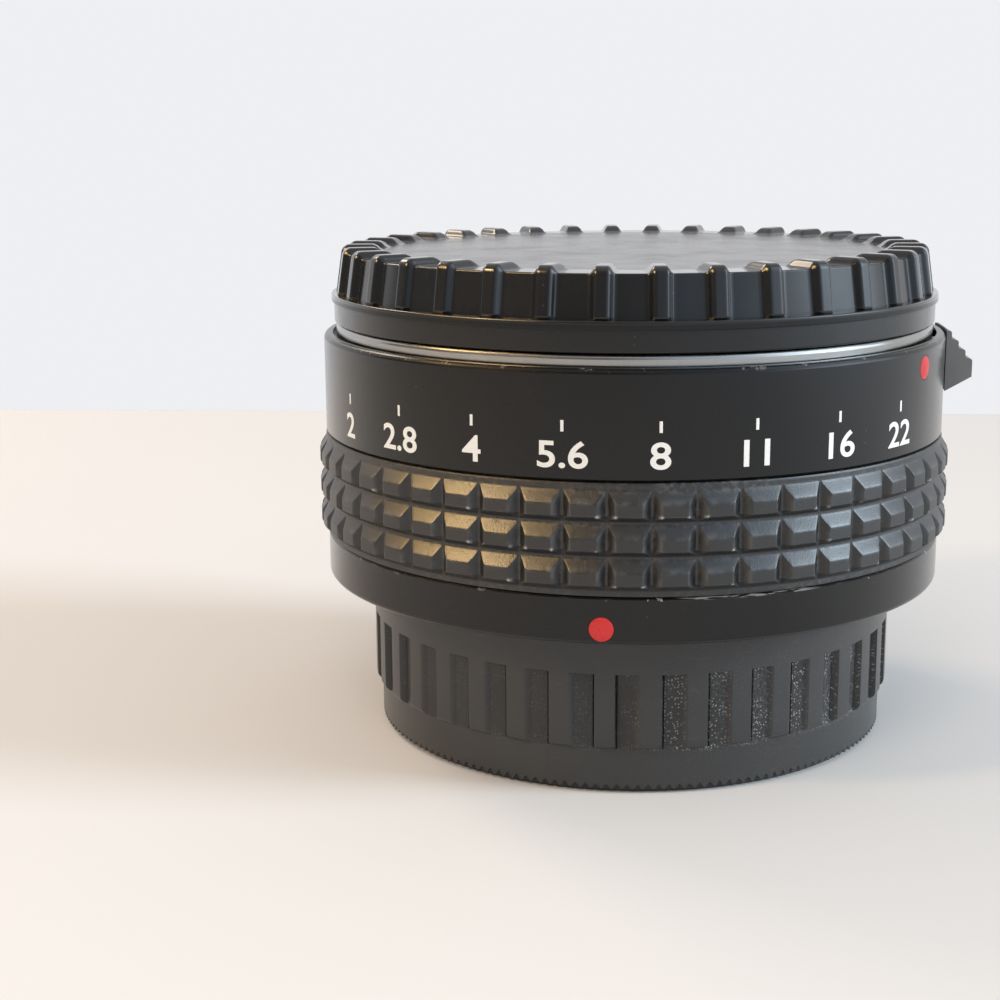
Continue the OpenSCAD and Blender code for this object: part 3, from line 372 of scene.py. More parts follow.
# Glossy moulded plastic: flow waviness, hair scratches, a duller bead, and a pebbled disc on top
def frontCapRecipe(wire):
    look = capLook
    discLevel, ribEnd, beadLow = (frontCap[k] for k in ("disc", "ribEnd", "beadLow"))
    point = surfacePoint(wire)
    radius, arc, level = aroundAxis(point, look["arcRadius"])
    disc = rise(level, discLevel - 0.12, discLevel - 0.04) * (1 - rise(radius, ribEnd - 0.6, ribEnd + 0.2))
    skirt = 1 - rise(level, beadLow - 0.1, beadLow + 0.05)
    bead = (1 - skirt) * (1 - rise(level, beadLow + 0.4, beadLow + 0.6)) * rise(radius, *look["beadRadius"])
    waves = grain(point, look["waveSize"], 2)
    pebbles = grain(point, look["discGrain"], 2)
    smears = grain(point, look["smearSize"], 4, 0.6)
    hairs = rise(grain(joinAxes(arc * 0.25, radius, level * 2.0), look["hairSize"], 2), 0.66, 0.74)
    lint = specks(point, *look["lint"])
    tone = mixTone(disc, look["blackTone"], look["discTone"])
    tone = mixTone(skirt, tone, look["skirtTone"])
    tone = mixTone(lint * 0.35, tone, look["lintTone"])
    handled = look["roughness"] + 0.12 * rise(smears, 0.4, 0.75) + 0.1 * hairs
    relief = pebbles * disc * 0.5 + waves * (0.5 - 0.42 * disc) + 0.05 * smears
    return {
        "Base Color": tone,
        "Roughness": handled + disc * (0.1 + 0.06 * pebbles) + 0.14 * skirt,
        "Normal": bump(relief, look["relief"], 0.45),
        "Specular IOR Level": 0.2,
        "Coat Weight": 0.9 - 0.4 * disc - 0.6 * bead,
        "Coat IOR": 1.38,
        "Coat Roughness": 0.2,
    }


rearCapLook = {
    "black": 0.026,
    "scuffTone": grey(0.07),
    "dustTone": grey(0.26, 0.02),
    "lintTone": grey(0.6),
    "arcRadius": 26.0,
    "dustyFrom": (-4.0, 9.0),  # along the arc: less dust to the left
    "grainSize": 0.07,
    "grainDepth": 0.01,
    "patchSize": 6.0,
    "powderSize": 0.22,
    "lintPatch": 1.8,
    "scuffSize": 0.5,
    "lint": (0.3, 0.08, 0.5),
    "fibres": (0.5, 0.05, 0.4),
    "roughness": 0.32,
}


# Matt moulded plastic: fine spark-eroded grain, dust, lint and fibres that lie in the slots, scuffed lands
def rearCapRecipe(wire):
    look = rearCapLook
    landLow = rearCap["landLow"]
    point = surfacePoint(wire)
    radius, arc, level = aroundAxis(point, look["arcRadius"])
    sunk = meshValue(wire, "slotDepth")
    fine = grain(point, look["grainSize"], 2)
    patches = grain(point, look["patchSize"], 3)
    side = 0.12 + 0.88 * rise(arc, *look["dustyFrom"])
    lint = specks(joinAxes(arc, level, 0.0), *look["lint"], True)
    lint = lint + specks(joinAxes((arc + level) * 0.22, arc - level, 0.0), *look["fibres"], True)
    lint = lint + specks(joinAxes((arc * 0.6 - level) * 0.22, arc + level, 0.0), *look["fibres"], True)
    lint = lint * rise(grain(point, look["lintPatch"], 2), 0.36, 0.58) * side
    powder = rise(grain(point, look["powderSize"], 4, 0.75), 0.46, 0.7) * rise(patches, 0.36, 0.6) * side
    ledge = between(level, landLow - 0.5, landLow - 0.1, landLow + 0.1, landLow + 0.3)
    scuff = (1 - sunk) * rise(grain(joinAxes(arc * 0.2, radius, level), look["scuffSize"], 3), 0.6, 0.75)
    tone = mixTone(patches, grey(look["black"]), grey(look["black"] * 1.4))
    tone = mixTone(scuff * 0.2, tone, look["scuffTone"])
    tone = mixTone((sunk + ledge) * powder * 0.42, tone, look["dustTone"])
    tone = mixTone(lint * (0.04 + 0.5 * sunk + 0.45 * ledge), tone, look["lintTone"])
    return {
        "Base Color": tone,
        "Roughness": look["roughness"] + 0.14 * fine + 0.2 * powder,
        "Normal": bump(fine, look["grainDepth"], 0.8),
        "Specular IOR Level": 0.3,
        "Coat Weight": 0.5 - 0.34 * sunk,
        "Coat Roughness": 0.34,
    }


mountLook = {
    "dark": (0.34, 0.335, 0.32, 1.0),
    "light": (0.44, 0.435, 0.42, 1.0),
    "ringSize": 0.06,
    "ringDepth": 0.003,
    "smearSize": 4.0,
    "arcRadius": 30.0,
}


# Bright turned metal of the mounts: fine rings from the lathe, faint smears
def mountRecipe(wire):
    look = mountLook
    point = surfacePoint(wire)
    radius, arc, level = aroundAxis(point, look["arcRadius"])
    rings = grain(joinAxes(radius, arc * 0.01, level), look["ringSize"], 2)
    smears = grain(point, look["smearSize"], 3)
    return {
        "Base Color": mixTone(smears, look["dark"], look["light"]),
        "Roughness": 0.14 + 0.1 * rings + 0.08 * rise(smears, 0.5, 0.8),
        "Metallic": 1.0,
        "Normal": bump(rings, look["ringDepth"], 0.4),
    }


# plain metals of the small parts: a little grain and uneven shine
def metalRecipe(tone, roughness, grainSize=0.12, stainSize=1.8):
    def recipe(wire):
        point = surfacePoint(wire)
        fine = grain(point, grainSize, 3)
        stains = grain(point, stainSize, 3)
        dark = tuple(0.8 * part for part in tone[:3]) + (1.0,)
        return {
            "Base Color": mixTone(stains, dark, tone),
            "Roughness": roughness + 0.14 * fine + 0.1 * stains,
            "Metallic": 1.0,
            "Normal": bump(fine, 0.004, 0.5),
        }

    return recipe


# dull blacks: paint against reflections, the lever's satin and the plastic ring
def dullRecipe(black, roughness, grainSize, patchSize=3.0, lint=(1.0, 0.06, 0.25)):
    def recipe(wire):
        point = surfacePoint(wire)
        fine = grain(point, grainSize, 3)
        patches = grain(point, patchSize, 3)
        tone = mixTone(patches, grey(black), grey(black * 1.4))
        return {
            "Base Color": mixTone(specks(point, *lint) * 0.3, tone, grey(0.2)),
            "Roughness": roughness + 0.15 * fine,
            "Normal": bump(fine, 0.01, 0.6),
        }

    return recipe


# Coated glass, with a trace of dust on it
def glassRecipe(wire):
    dust = specks(surfacePoint(wire), 1.2, 0.05, 0.3)
    return {
        "Base Color": (0.86, 0.9, 0.96, 1.0),
        "Roughness": 0.01 + 0.25 * dust,
        "IOR": 1.52,
        "Transmission Weight": 1.0,
        "Coat Weight": 0.5,
        "Coat Tint": (0.6, 0.5, 0.9, 1.0),
    }


redLook = {
    "dark": (0.58, 0.02, 0.025, 1.0),
    "light": (0.66, 0.04, 0.04, 1.0),
    "scuffed": (0.8, 0.3, 0.28, 1.0),
}


# Red enamel, a little cloudy, with faint pale scuffs
def redRecipe(wire):
    point = surfacePoint(wire)
    scuffs = rise(grain(point, 0.16, 3), 0.6, 0.72)
    tone = mixTone(grain(point, 0.5, 3), redLook["dark"], redLook["light"])
    return {
        "Base Color": mixTone(scuffs * 0.12, tone, redLook["scuffed"]),
        "Roughness": 0.4 + 0.1 * scuffs,
        "Specular IOR Level": 0.25,
        "Coat Weight": 0.2,
        "Coat Roughness": 0.1,
    }


# White marking paint, a little thin in places
def markingRecipe(wire):
    thin = rise(grain(surfacePoint(wire), 0.12, 3), 0.52, 0.75)
    return {
        "Base Color": mixTone(thin * 0.5, (0.88, 0.87, 0.82, 1), (0.6, 0.59, 0.55, 1)),
        "Roughness": 0.5 + 0.15 * thin,
    }


recipes = {
    "cap_matte": rearCapRecipe,
    "cap_gloss": frontCapRecipe,
    "barrel_black": barrelRecipe,
    "grip_rubber": rubberRecipe,
    "mount_chrome": mountRecipe,
    "steel": metalRecipe((0.6, 0.6, 0.6, 1), 0.2),
    "spring_steel": metalRecipe((0.52, 0.5, 0.46, 1), 0.26),
    "inner_black": dullRecipe(0.008, 0.6, 0.1),
    "glass": glassRecipe,
    "index_red": redRecipe,
    "lever_black": dullRecipe(0.14, 0.36, 0.06),
    "brass": metalRecipe((0.72, 0.53, 0.26, 1), 0.24),
    "ring_plastic": dullRecipe(0.02, 0.45, 0.08),
}


# line through corners, each (radius, level, rounding); a rounding is a parabola between its tangent points,
# which lie within a share of the sides, and a support point beyond each keeps the flat stretches flat
def roundedLine(corners, steps, closed=False, mostShare=0.42, support=0.15):
    at = np.array([c[:2] for c in corners], float)
    rounding = np.array([c[2] for c in corners], float)
    before, after = np.roll(at, 1, 0) - at, np.roll(at, -1, 0) - at
    lengthBefore, lengthAfter = np.linalg.norm(before, axis=1), np.linalg.norm(after, axis=1)
    t = np.linspace(0, 1, steps)[:, None]
    line = []
    for k in range(len(at)):
        if rounding[k] == 0 or (not closed and k in (0, len(at) - 1)):
            line.append(at[k][None])
            continue
        u, v = before[k] / lengthBefore[k], after[k] / lengthAfter[k]
        half = math.acos(np.clip(u @ v, -1, 1)) / 2
        reach = min(rounding[k] / math.tan(half), mostShare * lengthBefore[k], mostShare * lengthAfter[k])
        start, end = at[k] + reach * u, at[k] + reach * v
        bend = (1 - t) ** 2 * start + 2 * t * (1 - t) * at[k] + t**2 * end
        line += [(start + support * reach * u)[None], bend, (end + support * reach * v)[None]]
    return np.concatenate(line)


# points that are evenly added along a line where its steps are longer than a limit
def refineLine(line, limit):
    pieces = [line[:1]]
    for a, b in zip(line[:-1], line[1:]):
        count = max(1, math.ceil(np.linalg.norm(b - a) / limit))
        pieces.append(a + (b - a) * np.linspace(0, 1, count + 1)[1:, None])
    return np.concatenate(pieces)


# place of (radius, azimuth, level): azimuth 0 faces the viewer, a quarter turn faces +X
def turn(radius, azimuth, level):
    parts = np.broadcast_arrays(radius * np.sin(azimuth), -radius * np.cos(azimuth), level)
    return np.stack(parts, -1) * mm


# quads of a grid of rows and columns, closed round where asked
def gridQuads(rows, columns, loopRows, loopColumns):
    r = np.arange(rows if loopRows else rows - 1)[:, None]
    c = np.arange(columns if loopColumns else columns - 1)[None]
    r2, c2 = (r + 1) % rows, (c + 1) % columns
    corners = np.broadcast_arrays(r * columns + c, r * columns + c2, r2 * columns + c2, r2 * columns + c)
    return np.stack(corners, -1).reshape(-1, 4)


# a mesh from its points, the point at each corner of its faces, and the place of each face's first corner
def fillMesh(name, points, corners, firsts):
    mesh = bpy.data.meshes.new(name)
    mesh.vertices.add(len(points))
    mesh.vertices.foreach_set("co", points.ravel())
    mesh.loops.add(len(corners))
    mesh.loops.foreach_set("vertex_index", corners)
    mesh.polygons.add(len(firsts))
    mesh.polygons.foreach_set("loop_start", firsts)
    mesh.update(calc_edges=True)
    return mesh


# vertices in one place become one, which closes seams and poles
def joinSeams(mesh, within=1e-7):
    work = bmesh.new()
    work.from_mesh(mesh)
    bmesh.ops.remove_doubles(work, verts=work.verts, dist=within)
    work.to_mesh(mesh)
    work.free()


# puts a mesh into the scene with its finish, faces smooth or flat
def showMesh(mesh, finish, smooth=True):
    mesh.polygons.foreach_set("use_smooth", np.full(len(mesh.polygons), smooth))
    mesh.materials.append(finish)
    piece = bpy.data.objects.new(mesh.name, mesh)
    bpy.context.scene.collection.objects.link(piece)
    print(mesh.name, len(mesh.polygons), "faces")
    return piece


# one mesh from several grids of rows x columns x 3 points, closed along both where they say so; a grid is
# turned outward where its volume, the sum of corner . (corner x corner) / 6, comes out negative; ridged
# splits each quad along its outer diagonal, and edges steeper than the sharp angle stay crisp
def makePiece(name, grids, finish, body, stands=(), ridged=False, sharp=None):
    points, quads, values, count = [], [], {}, 0
    keys = sorted({key for grid in grids for key in grid.get("values", {})})
    for grid in grids:
        place = grid["points"]
        rows, columns = place.shape[:2]
        quad = gridQuads(rows, columns, grid.get("loopRows", False), grid.get("loopColumns", True))
        a, b, c, d = np.moveaxis(place.reshape(-1, 3)[quad], 1, 0)
        volume = np.sum(a * (np.cross(b, c) + np.cross(c, d))) / 6
        quads.append((quad if volume > 0 else quad[:, ::-1]) + count)
        points.append(place.reshape(-1, 3))
        for key in keys:
            value = np.broadcast_to(grid.get("values", {}).get(key, 0.0), (rows, columns))
            values.setdefault(key, []).append(value.ravel())
        count += rows * columns
    points, faces = np.concatenate(points), np.concatenate(quads)
    if ridged:
        far = np.hypot(points[:, 0], points[:, 1])[faces]
        first = (far[:, 0] + far[:, 2] >= far[:, 1] + far[:, 3])[:, None]
        faces = np.concatenate([
            np.where(first, faces[:, [0, 1, 2]], faces[:, [0, 1, 3]]),
            np.where(first, faces[:, [0, 2, 3]], faces[:, [1, 2, 3]]),
        ])
    mesh = fillMesh(name, points, faces.ravel(), np.arange(len(faces)) * faces.shape[1])
    for key, parts in values.items():
        attribute = mesh.attributes.new(key, "FLOAT", "POINT")
        attribute.data.foreach_set("value", np.concatenate(parts).astype(np.float32))
    joinSeams(mesh)
    piece = showMesh(mesh, finish)
    if sharp:
        mesh.set_sharp_from_angle(angle=math.radians(sharp))
    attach(piece, body)
    if stands:
        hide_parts(*stands)
    return piece


# the lesser of two fields, with its crease rounded over a width
def softMin(a, b, width):
    return np.minimum(a, b) - np.maximum(width - np.abs(a - b), 0) ** 2 / (4 * width)


# the greater of two fields, likewise
def softMax(a, b, width):
    return np.maximum(a, b) + np.maximum(width - np.abs(a - b), 0) ** 2 / (4 * width)


# a block of a ring: its outline in (radius, level) carried round about a middle azimuth, both ends closed
def ringBlock(radiusIn, radiusOut, low, high, middle, angle, rounding=0.12, columns=24):
    corners = [(radiusIn, low), (radiusOut, low), (radiusOut, high), (radiusIn, high)]
    outline = roundedLine([corner + (rounding,) for corner in corners], steps=4, closed=True)
    centre = outline.mean(0)
    spread = np.radians(middle + angle * (np.linspace(0, 1, columns) - 0.5))
    # the ends draw in to a point at their middle, which closes them
    azimuth = np.concatenate([[spread[0]], spread, [spread[-1]]])
    shrink = np.concatenate([[0], np.ones(columns), [0]])[:, None, None]
    section = centre + shrink * (outline - centre)
    points = turn(section[..., 0].T, azimuth[None], section[..., 1].T)
    return {"points": points, "loopRows": True, "loopColumns": False}


# Rubber grip, millimetres
grip = {
    "studs": 50,
    "rows": 3,
    "rim": 0.72,
    "rimRound": 0.3,
    "boreRound": 0.1,
    "rowGroove": 0.36,
    "columnGroove": 0.2,
    "studHeight": 0.68,
    "sideRun": 0.7,
    "lowerRun": 0.45,
    "upperRun": 1.1,
    "crease": 0.1,  # rounding of the studs' edges, as a share of a slope
    "rubAt": 0.95,  # where the edges are rubbed and how widely, as shares of a slope
    "rubWide": 0.16,
    "nick": 0.11,
    "fit": 0.04,
    "wall": 1.01,
    "sharp": 26,  # degrees
}


# distances from the middle of a groove at which a slope of that run needs points
def slopeStops(groove, run):
    half = groove / 2
    slope = half + run * np.array([0.08, 0.2, 0.5, 0.85, 0.96])
    return np.concatenate([[0, 0.6 * half, 0.95 * half], slope, half + run + np.array([0.03, 0.1, 0.24])])


# radius = base + height * least of the side, lower and upper slopes, with soft creases
def makeGrip(spec, finish):
    low, high, outer = roundSpan("rubber_grip")
    base = outer - spec["studHeight"]
    half, halfSide, crease = spec["rowGroove"] / 2, spec["columnGroove"] / 2, spec["crease"]
    pitch = 2 * math.pi * base / spec["studs"]
    rowPitch = (high - low + 2 * spec["fit"] - 2 * spec["rim"] + spec["rowGroove"]) / spec["rows"]
    side = slopeStops(spec["columnGroove"], spec["sideRun"])
    across = np.concatenate([side, [pitch / 2], pitch - side[:0:-1]])
    arc = (np.arange(spec["studs"])[:, None] * pitch + across).ravel()
    azimuth = arc / base + math.pi / spec["studs"]
    lower, upper = (slopeStops(spec["rowGroove"], spec[run]) for run in ("lowerRun", "upperRun"))
    along = np.concatenate([lower, rowPitch - upper[:0:-1]])
    studsLow = low - spec["fit"] + spec["rim"] - half
    rowLevels = (np.arange(spec["rows"])[:, None] * rowPitch + along).ravel()
    level = np.append(rowLevels, spec["rows"] * rowPitch) + studsLow
    inRow = np.mod(level - studsLow + 1e-6, rowPitch)
    fromSide = np.abs(np.mod(arc + pitch / 2, pitch) - pitch / 2)
    upDown = softMin((inRow - half) / spec["lowerRun"], (rowPitch - inRow - half) / spec["upperRun"], crease)
    climb = softMin(((fromSide - halfSide) / spec["sideRun"])[None], upDown[:, None], crease)
    height = np.clip(softMax(softMin(climb, 1.0, crease), 0.0, crease), 0, 1)
    edge = np.exp(-(((climb - spec["rubAt"]) / spec["rubWide"]) ** 2))
    corner = np.exp(-((inRow - half - spec["lowerRun"]) / spec["nick"]) ** 2)[:, None]
    corner = corner * np.exp(-((fromSide - halfSide - spec["sideRun"]) / spec["nick"]) ** 2)[None]
    # painted shade mask: 1 on the studs' lower slopes, which face down, so the rubber darkens them
    under = ((inRow > 0.6 * half) & (inRow < half + 0.98 * spec["lowerRun"])).astype(float)[:, None]
    studs = turn(base + spec["studHeight"] * height, azimuth, level[:, None])
    # plain rims, rounded edges and the bore close the sleeve
    inner, rimRound, boreRound = base - spec["wall"], spec["rimRound"], spec["boreRound"]
    back = roundedLine(
        [(base, level[-1], 0), (base, high, rimRound), (inner, high, boreRound), (inner, low, boreRound),
         (base, low, rimRound), (base, level[0], 0)],
        steps=3,
    )[1:-1]
    sleeve = turn(back[:, :1], azimuth, back[:, 1:])
    still = np.zeros(sleeve.shape[:2])
    grid = {
        "points": np.concatenate([studs, sleeve]),
        "loopRows": True,
        "values": {
            "studHeight": np.concatenate([height, still]),
            "studEdge": np.concatenate([edge, still]),
            "studFoot": np.concatenate([corner, still]),
            "studUnder": np.concatenate([np.broadcast_to(under, height.shape), still]),
        },
    }
    makePiece("rubberGrip", [grid], finish, "barrel", ["rubber_grip"], True, spec["sharp"])


# Ribbed front cap, millimetres and degrees
capLow, capHigh, capBead = roundSpan("front_cap")
frontCap = {
    "ribs": 36,
    "ribHeight": 0.68,
    "ribWidth": 2.06,
    "flankRun": 0.4,
    "flankRound": 0.5,  # shares of the flank, at its top and foot
    "footRound": 0.3,
    "topRound": 0.18,
    "normalRun": 1.5,  # over which a rib turns from straight out to its normal
    "rowStep": 0.35,
    "ringColumns": 360,
    "discRings": (0.0, 8.0, 16.0, 22.0),
    "crown": capHigh,
    "disc": capHigh - 0.68,
    "under": capHigh - 2.28,
    "beadTop": capHigh - 4.6,
    "beadLow": capHigh - 5.4,
    "skirtLow": capHigh - 7.4,
    "bead": capBead,
    "skirt": capBead - 0.25,
    "skirtIn": capBead - 1.95,
    "ribFoot": capBead - 0.45,
    "ribTop": capBead - 1.15,
    "sideIn": capBead - 3.23,
    "plugOut": 21.75,
    "plugIn": 20.3,
    "plugLow": capLow,
    "ribEnd": capBead - 5.15,
    "tabOut": 23.7,
    "tabLow": 38.35,
    "tabHigh": 39.45,
    "tabAngle": 44.0,
    "tabAzimuth": 60.9,
}


# the valley surface is turned about the axis, and ribs of one width stand on it along its normal: height =
# ribHeight * least of (half width - distance from the rib) / flank run, and the ramp at its inner end
def makeFrontCap(spec, finish):
    disc, beadTop, beadLow, under = (spec[k] for k in ("disc", "beadTop", "beadLow", "under"))
    plugOut, plugIn, plugLow, sideIn = (spec[k] for k in ("plugOut", "plugIn", "plugLow", "sideIn"))
    drawn = spec["ribFoot"] - spec["ribTop"]
    valleyFoot = spec["ribFoot"] - spec["ribHeight"]
    valleyTop = valleyFoot - drawn * (disc - beadTop) / (spec["crown"] - beadTop)
    ribCorners = [
        (spec["ribEnd"] - 0.5, disc, 0), (valleyTop, disc, spec["topRound"]), (valleyFoot, beadTop, 0),
    ]
    ribbed = refineLine(roundedLine(ribCorners, steps=9), spec["rowStep"])
    below = roundedLine(
        [(valleyFoot, beadTop, 0), (valleyFoot, beadTop - 0.3, 0), (sideIn, beadTop - 0.3, 0),
         (sideIn, under, 0.3), (plugOut, under, 0.2), (plugOut, plugLow, 0.15), (plugIn, plugLow, 0.15),
         (plugIn, under, 0.2), (0.0, under, 0)],
        steps=3,
    )[1:]
    ring = roundedLine(
        [(spec["bead"], beadTop, 0.16), (spec["bead"], beadLow, 0.14), (spec["skirt"], beadLow, 0.05),
         (spec["skirt"], spec["skirtLow"], 0.15), (spec["skirtIn"], spec["skirtLow"], 0.15),
         (spec["skirtIn"], beadLow, 0.2), (sideIn + 0.02, beadLow, 0.2), (sideIn + 0.02, beadTop, 0.05)],
        steps=4,
        closed=True,
    )
    middle = np.array([(ringAt, disc) for ringAt in spec["discRings"]])
    valley = np.concatenate([middle, ribbed, below])
    inRibs = np.zeros(len(valley), bool)
    inRibs[len(middle) : len(middle) + len(ribbed)] = True
    step = np.gradient(ribbed, axis=0)
    normal = np.zeros((len(valley), 2))
    normal[inRibs] = np.stack([-step[:, 1], step[:, 0]], 1) / np.linalg.norm(step, axis=1)[:, None]
    normal[:, 1] *= np.clip((valley[:, 1] - beadTop) / spec["normalRun"], 0, 1)
    clear = 9.0  # well past every slope
    ramp = np.where(valley[:, 1] > disc - 0.01, (valley[:, 0] - spec["ribEnd"]) / spec["ribHeight"], clear)
    ramp = np.where(inRibs, ramp, -clear)
    # columns stand at fixed distances from a rib's middle, and evenly over the valley between two ribs
    half, run = spec["ribWidth"] / 2, spec["flankRun"]
    flank = half + run * np.array([-1.8, -1.4, -1.15, -0.9, -0.6, -0.3, 0, 0.3, 1])
    fromRib = np.concatenate([[0, 0.16], flank])
    fromRib = np.concatenate([-fromRib[:0:-1], fromRib])
    share = np.linspace(0, 1, 8)[1:-1]
    period = 2 * math.pi / spec["ribs"]
    radius = np.maximum(valley[:, 0], spec["ribEnd"])[:, None]
    rib = fromRib / radius
    gap = rib[:, -1:] + (period - 2 * rib[:, -1:]) * share
    across = np.concatenate([rib, gap], 1)
    ribAt = (np.arange(spec["ribs"]) + 0.5) * period
    azimuth = (across[:, None] + ribAt[None, :, None]).reshape(len(valley), -1)
    distance = np.tile(np.concatenate([np.abs(fromRib), np.full(len(share), clear)]), spec["ribs"])[None]
    climb = softMin((half - distance) / run, ramp[:, None], spec["footRound"])
    height = np.clip(softMax(softMin(climb, 1.0, spec["flankRound"]), 0.0, spec["footRound"]), 0, 1)
    raised = valley[:, None] + (spec["ribHeight"] * height * inRibs[:, None])[..., None] * normal[:, None]
    grids = [{"points": turn(raised[..., 0], azimuth, raised[..., 1])}]
    ringAzimuth = np.linspace(0, 2 * math.pi, spec["ringColumns"] + 1)[None, :-1]
    grids.append({"points": turn(ring[:, :1], ringAzimuth, ring[:, 1:]), "loopRows": True})
    tab = (plugOut - 0.2, spec["tabOut"], spec["tabLow"], spec["tabHigh"])
    for k in range(3):
        grids.append(ringBlock(*tab, spec["tabAzimuth"] + 120 * k, spec["tabAngle"]))
    makePiece("frontCap", grids, finish, "front_cap", ["front_cap"])


# Rear cap, millimetres and degrees
capTop, capLand = roundSpan("rear_cap")[1:]
rearCap = {
    "slots": 39,
    "slotWidth": 2.4,
    "slotTop": 11.65,
    "slotFloor": 0.03,
    "coreAzimuth": -5.8,  # the slots face four directions, a quarter turn apart
    "lean": 0.55,  # share of the depth that a floor loses over its width
    "leanFrom": 4.0,
    "nearRun": 0.05,
    "nearShare": 0.85,
    "farRun": 0.5,
    "seam": 0.16,
    "seamAt": 0.06,
    "seamHalf": 0.07,
    "landLow": 4.43,
    "landHeight": 0.65,
    "crease": 0.03,  # rounding of the slots' edges
    "endRun": 0.06,
    "notches": 168,
    "notchWidth": 0.88,
    "notchHeight": 0.5,
    "foot": 0.45,
    "footIn": 0.75,
    "inside": 24.3,
    "floor": 1.6,
    "mouthRound": 0.18,
    "lugIn": 22.2,
    "lugLow": 13.7,
    "lugAngle": 44.0,
    "lugAzimuth": 55.6,
    "sharp": 40,
}


# radius = lesser of the turned outline and the slots, which were moulded from four directions: the near wall
# of a slot runs along its direction, so over depth * tan(angle to it), with a seam at its foot; the floor
# loses a share of its depth towards the soft far wall; the bottom edge rises by a row of triangles
def makeRearCap(spec, finish):
    band = capLand - spec["landHeight"]
    foot = band - spec["footIn"]
    slotStep, notchStep = 2 * math.pi / spec["slots"], 2 * math.pi / spec["notches"]
    half, floor = spec["slotWidth"] / 2, band + spec["slotFloor"]
    depth = capLand - floor

    # angle of a slot to its direction in degrees, and the run of its near wall
    def slotTurn(at):
        turned = np.mod(np.degrees(at) - spec["coreAzimuth"] + 45, 90) - 45
        return turned, spec["nearRun"] + spec["nearShare"] * depth * np.tan(np.radians(np.abs(turned)))

    slotAt = np.arange(spec["slots"])[:, None] * slotStep
    turned, run = slotTurn(slotAt)
    near = np.concatenate([run * [[-0.4, 0, 0.5, 0.9]], run + [[0, 0.03, 0.06, 0.09, 0.13, 0.2, 0.5]]], 1)
    far = 2 * half - np.array([[-0.06, 0, 0.1, 0.25, 0.4, 0.5, 0.7]]) + 0 * run
    slotColumns = (slotAt + np.sign(turned) * (np.concatenate([near, far], 1) - half) / capLand).ravel()
    notchHalf = spec["notchWidth"] / 2 / band
    notchAt = np.arange(spec["notches"])[:, None] * notchStep
    notchColumns = (notchAt + np.array([-notchHalf, 0, notchHalf])).ravel()
    azimuth = np.unique(np.round(np.mod(np.concatenate([slotColumns, notchColumns]), 2 * math.pi), 6))
    nose = np.linspace(0, math.pi / 2, 9)
    noseUp = spec["landLow"] + spec["landHeight"] * (1 - np.cos(nose))
    noseLine = np.stack([band + spec["landHeight"] * np.sin(nose), noseUp], 1)
    slotEnd = spec["slotTop"] + spec["endRun"] * np.array([-3, -1, -0.5, 0, 0.5, 1, 3])
    levels = np.concatenate([np.linspace(noseLine[-1, 1], slotEnd[0], 8)[1:], slotEnd[1:]])
    line = np.concatenate([
        roundedLine(
            [(0.0, 0.0, 0), (foot, 0.0, 0.1), (foot, spec["foot"], 0.05), (foot + 0.1, spec["foot"], 0),
             (band, spec["foot"], 0.05), (band, spec["landLow"] - 0.02, 0)],
            steps=4,
        ),
        noseLine,
        np.stack([np.full(len(levels), capLand), levels], 1),
        roundedLine(
            [(capLand, capTop - 0.6, 0), (capLand, capTop, spec["mouthRound"]),
             (spec["inside"], capTop, spec["mouthRound"]), (spec["inside"], spec["floor"], 0.4),
             (0.0, spec["floor"], 0)],
            steps=4,
        ),
    ])
    outline, level = line[:, :1], line[:, 1:]
    slotAzimuth = np.round(azimuth / slotStep) * slotStep
    turned, run = slotTurn(slotAzimuth)
    fromNear = half + np.sign(turned) * (azimuth - slotAzimuth) * capLand
    fromFar = 2 * half - fromNear
    lean = spec["lean"] * np.clip(np.abs(turned) / spec["leanFrom"], 0, 1) * fromNear / (2 * half)
    walls = np.minimum(np.clip(fromNear / run, 0, 1), np.clip(fromFar / spec["farRun"], 0, 1))
    seam = spec["seam"] * np.clip(1 - np.abs(fromNear - run - spec["seamAt"]) / spec["seamHalf"], 0, 1)
    inSlot = (fromNear > -1e-4) & (fromFar > -1e-4)
    slotWall = np.where(inSlot, capLand - depth * (1 - lean) * walls - seam * walls, capLand + 1)[None]
    cut = softMin(outline, slotWall, spec["crease"])
    above = np.clip((level - spec["slotTop"]) / spec["endRun"] / 2 + 0.5, 0, 1)
    inWall = (outline > band - 0.01) & (level > spec["landLow"] - 0.01) & (level < capTop - 0.5)
    radius = np.where(inWall, cut + (outline - cut) * above, outline)
    fromNotch = np.abs(np.mod(azimuth + notchStep / 2, notchStep) - notchStep / 2)[None] * band
    lift = spec["notchHeight"] * np.clip(1 - fromNotch / (spec["notchWidth"] / 2), 0, 1)
    atEdge = (outline > foot + 0.05) & (level < spec["foot"] + 0.2)
    lifted = np.where(atEdge, level + lift, level)
    sunk = np.clip((outline - radius) / (0.6 * depth), 0, 1)
    grids = [{"points": turn(radius, azimuth, lifted), "values": {"slotDepth": sunk}}]
    lug = (spec["lugIn"], spec["inside"] + 0.2, spec["lugLow"], capTop - 0.02)
    for k in range(3):
        grids.append(ringBlock(*lug, spec["lugAzimuth"] + 120 * k, spec["lugAngle"]))
    makePiece("rearCap", grids, finish, "rear_cap", ["rear_cap"], sharp=spec["sharp"])


# Release spring, millimetres
releaseSpring = {"turns": 5, "wire": 0.35, "sides": 10, "steps": 32, "travel": 2.2}
